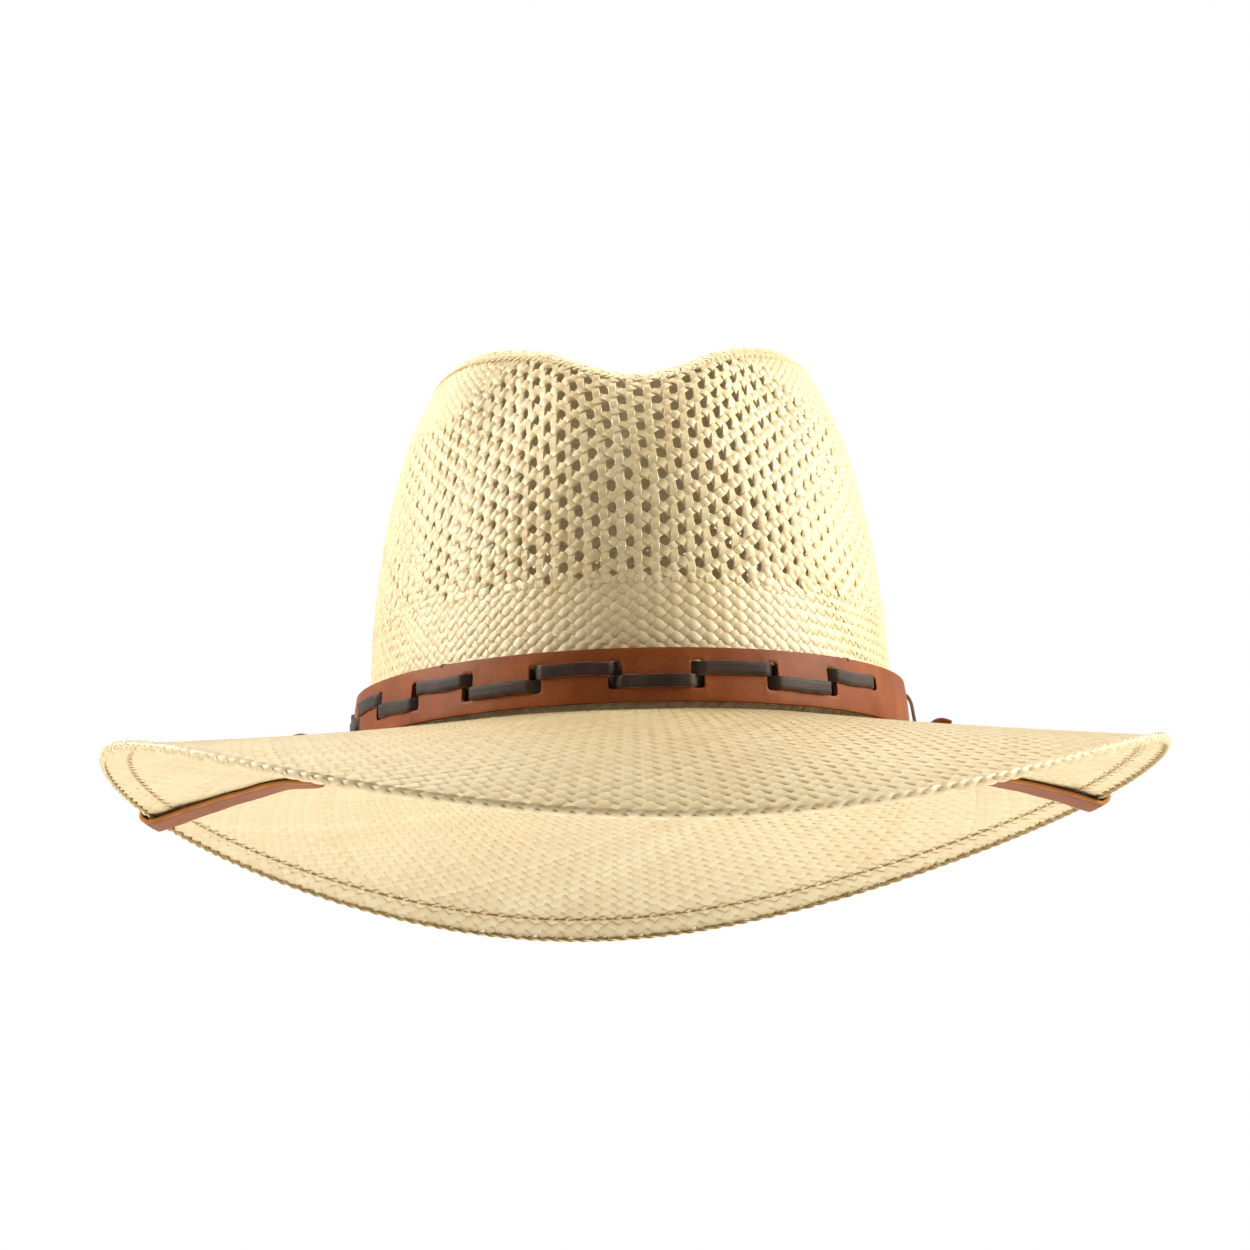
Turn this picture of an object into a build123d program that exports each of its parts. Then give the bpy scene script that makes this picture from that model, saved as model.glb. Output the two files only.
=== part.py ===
from build123d import *
import os
from math import atan2, comb, cos, exp, hypot, pi, radians, sin, sqrt

# Panama hat with a vented, centre-creased crown, a wide drooping brim, a slotted
# leather hatband with two dark laces, and a leather chin strap stowed round the back.
# Frame: origin at the centre of the head opening at the brim break, +Z up, the
# front of the hat faces -Y.  All sizes in millimetres.

# ---------------------------------------------------------------- driving sizes
FOOT_X = 83.0            # half width of the crown's foot, outside of the straw
FOOT_Y = 103.0           # half length of the crown's foot
STRAW = 1.6              # thickness of the woven straw
BRIM_WIDTH = 84.5        # brim from the crown's foot to the edge, along the straw
BRIM_SKEW = 0.012        # the brim is this share wider on its +X side, narrower on the other
HEM_WIDTH = 10.0         # straw turned under and stitched at the brim's edge
HEM_STEP = 1.6           # extra thickness of the turned-under hem

# Side curve of the open crown: (share of the foot's size, height) control points.
CROWN_CURVE = [(1.0, 0.0), (0.95, 79.0), (0.90, 86.0), (0.60, 139.0), (0.82, 119.0), (0.0, 119.0)]
CREASE_DEPTH = 24.4      # centre crease along the top of the crown
CREASE_WIDTH = 29.3
CREASE_START = 85.0      # height where the crease begins to show
CREASE_SOFTNESS = 9.0
CREASE_FADE = 85.0       # the crease gets shallower towards the front and back
CROWN_TILT = 9.2         # the crown's top rises towards the front
PINCH_ANGLE = 37.0       # the two front pinches, either side of the centre line
PINCH_DEPTH = 9.0
PINCH_HEIGHT = 100.0
PINCH_SPREAD = 17.0      # degrees round the crown
PINCH_TALL = 26.0

# Droop of the brim's edge below the foot, as waves round the brim.
DROOP_MEAN = 21.9
DROOP_SINES = {1: 3.5, 2: -1.02, 3: 0.85, 4: 0.35, 5: 0.48}
DROOP_COSINES = {1: 1.03, 2: -20.23, 3: 0.47, 4: 1.22}
DROOP_STRAIGHT = 0.5     # share of the droop that is straight, the rest is curved

BAND_LOW = 0.9           # leather hatband, heights of its two edges
BAND_TALL = 16.0
BAND_THICK = 1.9
BAND_GAP_LOW = 2.3       # from the foot's oval to the band's inner face
BAND_GAP_HIGH = 0.9
SLOT_PITCH = 24.4        # distance between lace slots along the band
SLOT_WIDTH = 4.0
SLOT_TALL = 8.4
SLOT_FIRST = -36.7       # angle of the first slot, near the front's right side
SLOT_COUNT = 22

LACE_THICK = 0.9
LACE_TALL = 3.6
LACE_SPREAD = 2.0        # the two laces lie above and below the band's middle
LACE_OUT = 4.75          # lace over the band, and behind it, from the foot's oval
LACE_IN = 0.35
LACE_DIP = 2.7           # half length of a lace's step through a slot
LACE_STEP = 0.9          # distance between points along a lace

TAIL_WIDE = 3.8
TAIL_THICK = 1.0
KNOT_ANGLE = 16.0        # the lace knot, on the hat's right side
KNOT_OUT = 5.9
TAIL_FRONT = -8.0        # directions in which the two lace ends hang, in degrees
TAIL_REAR = 76.0
# Side view of each lace end as (run from its root, height).
FRONT_TAIL_PATH = [
    (0, 13.5), (0.2, 16.5), (1.6, 18.9), (3.4, 16.6), (4.4, 11.0), (5.6, 5.2), (10.0, 1.6), (22.0, 0.2),
]
REAR_TAIL_PATH = [(0, 10.5), (2.6, 6.0), (8.0, 2.2), (18.0, 0.4), (27.0, -0.6)]

STRAP_WIDE = 10.0        # leather chin strap
STRAP_THICK = 1.6
STRAP_CLEAR = 0.5        # air between the strap and the straw
STRAP_LEAVE = 18.0       # degrees: the strap leaves its slit towards the brim's rear side
STRAP_EDGE = {1: 21.5, -1: 24.5}  # angle round the hat where each side wraps the brim's edge
REAR_TURN = 2.0          # degrees further, where the strap starts its way back over the brim
REAR_CLOSE = 62.0        # angle where it reaches the back of the crown
REAR_FAR = 71.0          # its distance from the foot at the start, and round the back
REAR_GAP = 8.4
SLIT_X = 98.0            # the strap passes through the brim here on both sides
SLIT_Y = 42.0
SLIT_LONG = 13.0
SLIT_WIDE = 3.4

SWEAT_TALL = 29.0        # leather sweatband inside the crown
SWEAT_THICK = 1.0
SWEAT_GAP = 0.6

AROUND = 60              # points on each ring of the straw
TURN = 2 * pi


# ---------------------------------------------------------------- shape of the straw
def crown_open(angle, t):
    """Point on the open crown, before it is creased; t runs from foot to tip."""
    last = len(CROWN_CURVE) - 1
    share = height = 0.0
    for k, (r, z) in enumerate(CROWN_CURVE):
        weight = comb(last, k) * t**k * (1 - t) ** (last - k)
        share += weight * r
        height += weight * z
    return FOOT_X * share * cos(angle), FOOT_Y * share * sin(angle), height


def crown_point(angle, t):
    """Point on the outside of the creased and pinched crown."""
    x, y, z = crown_open(angle, t)
    up = 1 / (1 + exp(-(z - CREASE_START) / CREASE_SOFTNESS))
    along = 1 - 0.4 * (y / CREASE_FADE) ** 2
    crease = CREASE_DEPTH * exp(-((x / CREASE_WIDTH) ** 2)) * along
    spread = min(1.0, max(0.0, (hypot(x / FOOT_X, y / FOOT_Y) - 0.25) / 0.4))
    depth = PINCH_DEPTH * spread * spread * (3 - 2 * spread)
    px, py = x, y
    for side in (-1, 1):
        centre = radians(-90 + side * PINCH_ANGLE)
        here = atan2(py / FOOT_Y, px / FOOT_X)
        off = atan2(sin(here - centre), cos(here - centre)) / radians(PINCH_SPREAD)
        push = depth * exp(-(off**2) - ((z - PINCH_HEIGHT) / PINCH_TALL) ** 2)
        px -= 0.8 * push * cos(centre)
        py -= push * sin(centre)
    return Vector(px, py, z + up * (CROWN_TILT * -y / 100 - crease))


def droop(angle):
    """How far the brim's edge hangs below the crown's foot."""
    drop = DROOP_MEAN
    drop += sum(size * sin(wave * angle) for wave, size in DROOP_SINES.items())
    drop += sum(size * cos(wave * angle) for wave, size in DROOP_COSINES.items())
    return drop


def outward(angle):
    """Unit vector square to the foot's oval, in plan."""
    nx, ny = cos(angle) / FOOT_X, sin(angle) / FOOT_Y
    size = hypot(nx, ny)
    return Vector(nx / size, ny / size, 0)


def foot_point(angle, out=0.0, z=0.0):
    """Point at a distance outside the foot's oval."""
    return Vector(FOOT_X * cos(angle), FOOT_Y * sin(angle), z) + outward(angle) * out


def brim_point(angle, w):
    """Point on the top of the brim, w millimetres of straw away from the foot."""
    drop = droop(angle)
    u = w / BRIM_WIDTH
    fall = drop * (DROOP_STRAIGHT * u + (1 - DROOP_STRAIGHT) * u * u)
    steps = 24
    reach = 0.0
    for k in range(steps):
        mid = u * (k + 0.5) / steps
        slope = drop / BRIM_WIDTH * (DROOP_STRAIGHT + 2 * (1 - DROOP_STRAIGHT) * mid)
        reach += w / steps * sqrt(1 - slope**2)
    return foot_point(angle, reach * (1 + BRIM_SKEW * cos(angle)), -fall)


def lifted(surface, angle, t, lift, step):
    """Point of a surface, moved along its outward normal."""
    here = surface(angle, t)
    round_it = surface(angle + 0.002, t) - surface(angle - 0.002, t)
    along_it = surface(angle, t + step) - surface(angle, t - step)
    normal = round_it.cross(along_it).normalized()
    if surface is brim_point:
        normal = -normal
    return here + normal * lift


def crown_at(angle, t, lift=0.0):
    return lifted(crown_point, angle, t, lift, 0.002)


def brim_at(angle, w, lift=0.0):
    return lifted(brim_point, angle, w, lift, 0.2)


def ring(point_at):
    """Closed wire through one point for each step round the hat."""
    points = [point_at(TURN * k / AROUND) for k in range(AROUND)]
    knots = [k / AROUND for k in range(AROUND + 1)]
    return Wire([Edge.make_spline(points, periodic=True, parameters=knots)])


def tip_ring(lift):
    """Small flat ring that closes the crown at its tip."""
    t = 0.985
    points = [crown_at(TURN * k / AROUND, t, lift) for k in range(AROUND)]
    level = sum(p.Z for p in points) / AROUND
    flat = [Vector(p.X, p.Y, level) for p in points]
    knots = [k / AROUND for k in range(AROUND + 1)]
    return Wire([Edge.make_spline(flat, periodic=True, parameters=knots)])


# ---------------------------------------------------------------- straw
def brim_rings(lift, widths):
    return [ring(lambda a: brim_at(a, w, lift)) for w in widths]


def crown_skin(lift, first):
    """Rings of one face of the crown, from the foot to the tip."""
    rings = [first]
    for t in [0.015, 0.035] + [0.06 + 0.04 * k for k in range(23)] + [0.965]:
        rings.append(ring(lambda a: crown_at(a, t, lift)))
    rings.append(tip_ring(lift))
    return rings


def make_straw_body():
    """One woven piece, crown and brim, with the hem turned under and two slits."""
    foot_out = ring(lambda a: foot_point(a))
    foot_in = ring(lambda a: foot_point(a, -STRAW, -STRAW))
    hem = BRIM_WIDTH - HEM_WIDTH
    brim_top = [foot_out] + brim_rings(0, (3, 8, 16, 26, 37, 48, 58, 67, 76, BRIM_WIDTH))
    brim_low = [foot_in] + brim_rings(-STRAW, (3, 8, 16, 26, 37, 48, 58, 67, hem))
    hem_low = brim_rings(-STRAW - HEM_STEP, (hem + 0.8, hem + 4, BRIM_WIDTH - 2.5, BRIM_WIDTH))
    crown_out = crown_skin(0, foot_out)
    crown_in = crown_skin(-STRAW, foot_in)
    skins = [
        Shell.make_loft(crown_out),
        Shell.make_loft(crown_in),
        Shell.make_loft(brim_top),
        Shell.make_loft(brim_low),
        Shell.make_loft(hem_low),
        Shell.make_loft([brim_low[-1], hem_low[0]], ruled=True),
        Shell.make_loft([brim_top[-1], hem_low[-1]], ruled=True),
    ]
    faces = [face for skin in skins for face in skin.faces()]
    faces += [Face(crown_out[-1]), Face(crown_in[-1])]
    body = outside_out(Solid(Shell(faces)))
    for side in (-1, 1):
        body = body - slit_cutter(side)
    return body


def slit_cutter(side):
    """Box through the brim where the chin strap passes."""
    place = Pos(side * SLIT_X, SLIT_Y, 0) * Rot(0, 0, side * STRAP_LEAVE + 90)
    return place * Box(SLIT_LONG, SLIT_WIDE, 30)


def make_hem_stitching():
    """Thread along the inner edge of the hem, under the brim."""
    radius = 0.4
    middle = BRIM_WIDTH - HEM_WIDTH - 2.5
    deep = -STRAW - 0.5 - radius
    corners = [(radius, 0), (0, radius), (-radius, 0), (0, -radius)]
    rings = [ring(lambda a: brim_at(a, middle + across, deep + up)) for across, up in corners]
    rings.append(rings[0])
    faces = [f for a, b in zip(rings, rings[1:]) for f in Shell.make_loft([a, b], ruled=True).faces()]
    return outside_out(Solid(Shell(faces)))


def outside_out(solid):
    """The same solid with its faces pointing outwards."""
    return solid if solid.volume > 0 else Solid(Shell([-face for face in solid.faces()]))


# ---------------------------------------------------------------- hatband and laces
def oval(out, z):
    return Pos(0, 0, z) * Ellipse(FOOT_X + out, FOOT_Y + out)


def oval_tube(out_low, out_high, z_low, z_high, thick):
    """Ring whose inner face goes from one oval to another."""
    outer = loft([oval(out_low + thick, z_low), oval(out_high + thick, z_high)], ruled=True)
    inner = loft([oval(out_low, z_low), oval(out_high, z_high)], ruled=True)
    return outer - inner


def band_angles(count, step, lead=0.0):
    """Angles at even steps of arc along the band, clockwise; lead is the arc before the first slot."""
    angle = radians(SLOT_FIRST) + lead / arc_per_radian(radians(SLOT_FIRST))
    angles = [angle]
    for _ in range(count - 1):
        for _ in range(8):
            angle -= step / 8 / arc_per_radian(angle)
        angles.append(angle)
    return angles


def arc_per_radian(angle):
    return hypot((FOOT_X + LACE_OUT) * sin(angle), (FOOT_Y + LACE_OUT) * cos(angle))


def make_leather_hatband():
    """Leaning leather band with its lace slots; the first slot serves the upper lace only."""
    band = oval_tube(BAND_GAP_LOW, BAND_GAP_HIGH, BAND_LOW, BAND_LOW + BAND_TALL, BAND_THICK)
    middle = BAND_LOW + BAND_TALL / 2
    for number, angle in enumerate(band_angles(SLOT_COUNT, SLOT_PITCH)):
        tall = SLOT_TALL if number else SLOT_TALL - 2 * LACE_SPREAD
        spot = foot_point(angle, 2.5, middle + (SLOT_TALL - tall) / 2)
        plane = Plane(origin=spot, x_dir=(0, 0, 1), z_dir=outward(angle))
        slot = extrude(plane * RectangleRounded(tall, SLOT_WIDTH, 1.0), amount=5, both=True)
        band = band - slot
    return band


def lace_share(arc, over_even):
    """1 where a lace lies over the band, 0 where it lies behind it."""
    slot = round(arc / SLOT_PITCH)
    x = max(-1.0, min(1.0, (arc - slot * SLOT_PITCH) / LACE_DIP))
    blend = 0.5 + 0.5 * (1.5 * x - 0.5 * x**3)
    after = (slot % 2 == 0) == over_even
    return blend if after else 1 - blend


def make_lace(over_even, z, lead, trail):
    """Lace threaded in and out of the slots, from before the first to after the last."""
    count = int((SLOT_PITCH * (SLOT_COUNT - 1) + lead + trail) / LACE_STEP)
    outer, inner = [], []
    for k, angle in enumerate(band_angles(count, LACE_STEP, lead)):
        out = LACE_IN + (LACE_OUT - LACE_IN) * lace_share(k * LACE_STEP - lead, over_even)
        outer.append(foot_point(angle, out + LACE_THICK / 2))
        inner.append(foot_point(angle, out - LACE_THICK / 2))
    strip = extrude(strip_outline(outer, inner), amount=LACE_TALL, dir=(0, 0, 1))
    return Pos(0, 0, z - LACE_TALL / 2) * strip


def strip_outline(one_side, other_side):
    """Flat face between two smooth edges."""
    edges = [
        Edge.make_spline(one_side),
        Edge.make_line(one_side[-1], other_side[-1]),
        Edge.make_spline(other_side[::-1]),
        Edge.make_line(other_side[0], one_side[0]),
    ]
    return Face(Wire(edges))


def knot_centre(z=0.0):
    return foot_point(radians(KNOT_ANGLE), KNOT_OUT, z)


def make_lace_knot():
    """Flat knot that joins the two laces on the band's right side."""
    out = outward(radians(KNOT_ANGLE))
    turn = atan2(out.Y, out.X) * 180 / pi
    knot = fillet(Box(2.2, 8.0, 8.4).edges(), 1.0)
    for lean in (-38, 38):
        knot += Rot(lean, 0, 0) * fillet(Box(2.8, 9.6, 3.6).edges(), 1.0)
    return Pos(knot_centre(BAND_LOW + BAND_TALL / 2)) * Rot(0, 0, turn) * knot


def tail_root(out, along):
    """Hinge point of a lace end, beside the knot."""
    normal = outward(radians(KNOT_ANGLE))
    side = Vector(-normal.Y, normal.X, 0)
    return knot_centre() + normal * out + side * along


def make_lace_tail(direction, out, along, path):
    """Hanging lace end: a flat strip that runs down and out over the brim."""
    spine = Edge.make_spline([Vector(x, 0, z) for x, z in path])
    left, right = [], []
    for k in range(13):
        tangent = spine % (k / 12)
        side = Vector(-tangent.Z, 0, tangent.X) * (TAIL_THICK / 2)
        left.append(spine @ (k / 12) + side)
        right.append(spine @ (k / 12) - side)
    strip = extrude(strip_outline(left, right), amount=TAIL_WIDE / 2, dir=(0, 1, 0), both=True)
    return Pos(tail_root(out, along)) * Rot(0, 0, direction) * strip


def make_hatband_tacks():
    """Four thread bars that hold the band's upper edge to the straw."""
    tacks = []
    z = BAND_LOW + BAND_TALL + 0.9
    for quarter in range(4):
        angle = radians(45 + 90 * quarter)
        start = foot_point(angle, -0.3, z)
        tacks.append(Pos(start) * Sphere(0.5) + Pos(start + outward(angle) * 0.8) * Sphere(0.5))
    return Compound(tacks)


# ---------------------------------------------------------------- chin strap
def strap_section(centre, width_dir, thick_dir):
    """Rectangle of the strap's cross-section as a closed wire."""
    across = width_dir.normalized() * (STRAP_WIDE / 2)
    through = thick_dir.normalized() * (STRAP_THICK / 2)
    corners = [
        centre + across + through,
        centre - across + through,
        centre - across - through,
        centre + across - through,
    ]
    return Wire.make_polygon(corners, close=True)


def brim_frame(side, degrees, w):
    """Top point of the brim with its normal and its outward direction, on one side."""
    angle = radians(degrees if side > 0 else 180 - degrees)
    top = brim_at(angle, w)
    normal = (brim_at(angle, w, 1) - top).normalized()
    out = (brim_at(angle, w + 1) - brim_at(angle, w - 1)).normalized()
    return top, normal, out


def under_run(side):
    """Stations (centre, width direction, thickness direction) from the slit to the edge."""
    leave = Vector(side * cos(radians(STRAP_LEAVE)), sin(radians(STRAP_LEAVE)), 0)
    across = Vector(-leave.Y, leave.X, 0)
    start = Vector(side * SLIT_X, SLIT_Y, 0)
    run = [(start + Vector(0, 0, z), across, leave * -1) for z in (0.4, -2.2)]
    run.append((start + leave * 0.9 + Vector(0, 0, -4.6), across, Vector(0, 0, 1) - leave))
    deep = STRAW + 1.1 * HEM_STEP + STRAP_CLEAR + STRAP_THICK / 2
    for share, w in ((0.0, 33.0), (0.45, 45.0), (0.8, 58.0), (1.0, 70.0)):
        top, normal, out = brim_frame(side, 20.2 + (STRAP_EDGE[side] - 20.2) * share, w)
        run.append((top - normal * deep, normal.cross(out), normal))
    return run


def edge_wrap(side):
    """Half turn of the strap over the brim's edge."""
    top, normal, out = brim_frame(side, STRAP_EDGE[side], BRIM_WIDTH - 1.0)
    centre = top - normal * ((STRAW + HEM_STEP) / 2)
    radius = (STRAW + HEM_STEP) / 2 + STRAP_CLEAR + STRAP_THICK / 2
    wrap = []
    for degrees in (-90, -60, -30, 0, 30, 60, 90):
        spin = radians(degrees)
        away = out * cos(spin) + normal * sin(spin)
        wrap.append((centre + away * radius + out * (0.6 * cos(spin)), normal.cross(out), away * -1))
    return wrap


def rear_run(side):
    """Across the top of the brim, turning on edge to lie round the back of the crown."""
    stations = 25
    first = STRAP_EDGE[side] + REAR_TURN
    run = []
    for k in range(stations):
        degrees = first + (90 - first) * k / (stations - 1)
        inward = max(0.0, (REAR_CLOSE - degrees) / (REAR_CLOSE - first))
        w = REAR_GAP + (REAR_FAR - REAR_GAP) * inward**1.6
        rise = min(1.0, max(0.0, (degrees - first - 2.5) / 30))
        run.append(rear_station(side, degrees, w, rise * rise * (3 - 2 * rise)))
    return run


def rear_station(side, degrees, w, stand):
    """One station of the strap, from lying flat (stand 0) to standing on edge (stand 1)."""
    top, normal, out = brim_frame(side, degrees, w)
    lift = STRAP_CLEAR + 0.2 + STRAP_THICK / 2
    lean = stand * pi / 2
    thick = normal * cos(lean) - out * sin(lean)
    across = out * cos(lean) + normal * sin(lean)
    height = lift + sin(lean) * (STRAP_WIDE / 2 - lift / 2)
    return (top + normal * height, across, thick)


def make_chin_strap():
    """One long strap from slit to slit: under the brim, over its edge and round the back."""
    right = under_run(1) + edge_wrap(1) + rear_run(1)
    left = under_run(-1) + edge_wrap(-1) + rear_run(-1)[:-1]
    sections = []
    previous = None
    for centre, across, thick in right + left[::-1]:
        if previous is not None and across.dot(previous) < 0:
            across = across * -1
        sections.append(strap_section(centre, across, thick))
        previous = across
    return outside_out(Solid.make_loft(sections, ruled=True))


def make_strap_knot(side):
    """Knot that stops the strap's end above its slit."""
    base = 1.4
    knot = Pos(0, 0, base + 2.2) * fillet(Box(15, 7.5, 4.4).edges(), 1.9)
    knot += Pos(0, 0, base + 4.6) * Rot(0, 24, 0) * fillet(Box(11, 6.5, 4.2).edges(), 1.8)
    knot += Pos(1.5, 0, base + 7.2) * Rot(0, -32, 0) * fillet(Box(9.5, 1.8, 4.8).edges(), 0.7)
    return Pos(side * SLIT_X, SLIT_Y, 0) * Rot(0, 0, side * STRAP_LEAVE + 90) * knot


# ---------------------------------------------------------------- inside of the crown
def make_sweatband():
    inner = -STRAW - SWEAT_GAP - SWEAT_THICK
    return oval_tube(inner, inner - 1.7, -1.0, SWEAT_TALL - 1.0, SWEAT_THICK)


def oval_cord(out, z, radius):
    """Round cord or thread that follows the oval."""
    path = Pos(0, 0, z) * Ellipse(FOOT_X + out, FOOT_Y + out).edge()
    profile = Plane(origin=path @ 0, z_dir=path % 0) * Circle(radius)
    return sweep(profile, path=path)


def make_sweatband_reed():
    return oval_cord(-STRAW - SWEAT_GAP - SWEAT_THICK / 2, -2.6, 1.1)


def make_sweatband_stitching():
    return oval_cord(-STRAW - SWEAT_GAP - SWEAT_THICK - 1.0, 4.0, 0.35)


def make_sweatband_bow():
    """Small flat bow at the back of the sweatband."""
    y = FOOT_Y - STRAW - SWEAT_GAP - SWEAT_THICK - 2.6
    bow = Pos(0, y, 9) * fillet(Box(4.2, 2.4, 4.6).edges(), 1.0)
    for side in (-1, 1):
        loop = Rot(0, side * 14, 0) * fillet(Box(11, 1.8, 5.6).edges(), 0.8)
        bow += Pos(side * 6.2, y, 9.4) * loop
        tail = Rot(0, side * 58, 0) * fillet(Box(12, 1.0, 4.0).edges(), 0.4)
        bow += Pos(side * 4.4, y, 4.0) * tail
    return bow


def make_size_tag():
    """Blank cloth tab standing on the inside of the sweatband."""
    angle = radians(118)
    spot = foot_point(angle, -STRAW - SWEAT_GAP - SWEAT_THICK - 3.0, 17)
    plane = Plane(origin=spot, x_dir=(0, 0, 1), z_dir=outward(angle))
    return extrude(plane * RectangleRounded(12, 19, 1.5), amount=0.35, both=True)


# ---------------------------------------------------------------- write the parts
def main():
    middle = BAND_LOW + BAND_TALL / 2
    nodes = {
        "straw_body": make_straw_body(),
        "hem_stitching": make_hem_stitching(),
        "leather_hatband": make_leather_hatband(),
        "hatband_lace_upper": make_lace(True, middle + LACE_SPREAD, lead=4.5, trail=4.5),
        "hatband_lace_lower": make_lace(False, middle - LACE_SPREAD, lead=-4.5, trail=2.4),
        "hatband_tacks": make_hatband_tacks(),
        "lace_knot": make_lace_knot(),
        "lace_tail_front": make_lace_tail(TAIL_FRONT, 2.4, -3.4, FRONT_TAIL_PATH),
        "lace_tail_rear": make_lace_tail(TAIL_REAR, 1.9, 6.0, REAR_TAIL_PATH),
        "chin_strap": make_chin_strap(),
        "chin_strap_knot_right": make_strap_knot(1),
        "chin_strap_knot_left": make_strap_knot(-1),
        "sweatband": make_sweatband(),
        "sweatband_reed": make_sweatband_reed(),
        "sweatband_stitching": make_sweatband_stitching(),
        "sweatband_bow": make_sweatband_bow(),
        "size_tag": make_size_tag(),
    }
    os.makedirs("parts", exist_ok=True)
    for name, shape in nodes.items():
        export_step(shape, f"parts/{name}.step")


main()
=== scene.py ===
"""Panama hat: the visual model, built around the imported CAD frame.

Lengths inside the builder functions are millimetres; meshes are written in metres.
Angles run round the hat: 0 is +X, -90 degrees is the front of the hat (-Y).
"""

import math

import bpy
import numpy as np
from mathutils import Matrix, Vector


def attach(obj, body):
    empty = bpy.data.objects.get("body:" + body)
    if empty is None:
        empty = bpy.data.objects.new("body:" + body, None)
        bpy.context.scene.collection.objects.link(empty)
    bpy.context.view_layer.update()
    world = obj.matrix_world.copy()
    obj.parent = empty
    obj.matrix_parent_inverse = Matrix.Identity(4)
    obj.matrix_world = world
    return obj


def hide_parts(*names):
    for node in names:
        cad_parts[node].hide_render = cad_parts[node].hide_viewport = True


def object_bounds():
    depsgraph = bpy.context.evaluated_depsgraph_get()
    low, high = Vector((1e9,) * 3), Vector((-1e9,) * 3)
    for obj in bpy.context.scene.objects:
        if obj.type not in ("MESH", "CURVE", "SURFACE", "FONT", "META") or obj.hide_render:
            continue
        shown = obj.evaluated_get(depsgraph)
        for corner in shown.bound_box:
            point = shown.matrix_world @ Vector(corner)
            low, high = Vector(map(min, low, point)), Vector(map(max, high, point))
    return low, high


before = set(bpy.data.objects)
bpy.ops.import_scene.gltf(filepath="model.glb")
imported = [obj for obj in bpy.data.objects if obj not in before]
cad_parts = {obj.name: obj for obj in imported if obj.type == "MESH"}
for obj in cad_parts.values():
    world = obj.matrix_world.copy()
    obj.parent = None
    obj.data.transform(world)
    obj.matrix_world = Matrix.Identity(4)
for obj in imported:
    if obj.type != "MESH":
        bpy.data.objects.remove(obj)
cad_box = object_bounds()

MM = 0.001
TURN = 2 * math.pi
FRONT = -math.pi / 2
UP = np.array([0.0, 0.0, 1.0])

# ---------------------------------------------------------------- shape of the hat, as in the CAD
FOOT_X, FOOT_Y = 83.0, 103.0
FOOT_ROUND = 586  # length of the foot's oval
BRIM_WIDTH, BRIM_SKEW = 84.5, 0.012
HEM_WIDTH = 10.0
CROWN_CURVE = [(1.0, 0.0), (0.95, 79.0), (0.90, 86.0), (0.60, 139.0), (0.82, 119.0), (0.0, 119.0)]
CREASE_DEPTH, CREASE_WIDTH, CREASE_START, CREASE_SOFTNESS, CREASE_FADE = 24.4, 29.3, 85.0, 9.0, 85.0
CREASE_LOSS = 0.4  # share of the crease's depth lost towards its ends
CROWN_TILT = 9.2
PINCH_ANGLE, PINCH_DEPTH, PINCH_HEIGHT, PINCH_SPREAD, PINCH_TALL = 37.0, 9.0, 100.0, 17.0, 26.0
PINCH_SIDEWAYS = 0.8  # how much of the push goes towards the centre line
DROOP_MEAN = 21.9
DROOP_SINES = {1: 3.5, 2: -1.02, 3: 0.85, 4: 0.35, 5: 0.48}
DROOP_COSINES = {1: 1.03, 2: -20.23, 3: 0.47, 4: 1.22}
DROOP_STRAIGHT = 0.5
BAND_LOW, BAND_TALL, BAND_THICK = 0.9, 16.0, 1.9
BAND_GAP_LOW, BAND_GAP_HIGH = 2.3, 0.9
BAND_ARC_OUT = 4.75  # arcs along the band are measured this far outside the foot
SLOT_PITCH, SLOT_FIRST, SLOT_COUNT = 24.4, -36.7, 22
SLOT_HALF_WIDE, SLOT_HALF_TALL, SLOT_ROUND = 2.0, 4.2, 1.1
LACE_SPREAD, LACE_DIP = 2.0, 2.7
KNOT_ANGLE, KNOT_OUT = 16.0, 5.9
SLIT_X, SLIT_Y = 98.0, 42.0
STRAP_LEAVE = 18.0
STRAP_EDGE = {1: 21.5, -1: 24.5}


def bezier(t):
    """Share of the foot's size and height of the open crown at t."""
    last = len(CROWN_CURVE) - 1
    share = height = 0.0
    for k, (r, z) in enumerate(CROWN_CURVE):
        weight = math.comb(last, k) * t**k * (1 - t) ** (last - k)
        share = share + weight * r
        height = height + weight * z
    return share, height


def crown_point(angle, t):
    """Points on the outside of the creased and pinched crown."""
    share, z = bezier(t)
    x, y = FOOT_X * share * np.cos(angle), FOOT_Y * share * np.sin(angle)
    up = 1 / (1 + np.exp(-(z - CREASE_START) / CREASE_SOFTNESS))
    along = 1 - CREASE_LOSS * (y / CREASE_FADE) ** 2
    crease = CREASE_DEPTH * np.exp(-((x / CREASE_WIDTH) ** 2)) * along
    spread = np.clip((np.hypot(x / FOOT_X, y / FOOT_Y) - 0.25) / 0.4, 0, 1)
    depth = PINCH_DEPTH * spread * spread * (3 - 2 * spread)
    px, py = x, y
    for side in (-1, 1):
        centre = math.radians(-90 + side * PINCH_ANGLE)
        here = np.arctan2(py / FOOT_Y, px / FOOT_X)
        off = np.arctan2(np.sin(here - centre), np.cos(here - centre)) / math.radians(PINCH_SPREAD)
        push = depth * np.exp(-(off**2) - ((z - PINCH_HEIGHT) / PINCH_TALL) ** 2)
        px = px - PINCH_SIDEWAYS * push * math.cos(centre)
        py = py - push * math.sin(centre)
    return np.stack([px, py, z + up * (CROWN_TILT * -y / 100 - crease)], -1)


def droop(angle):
    """How far the brim's edge hangs below its foot."""
    drop = DROOP_MEAN + sum(size * np.sin(wave * angle) for wave, size in DROOP_SINES.items())
    return drop + sum(size * np.cos(wave * angle) for wave, size in DROOP_COSINES.items())


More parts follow.
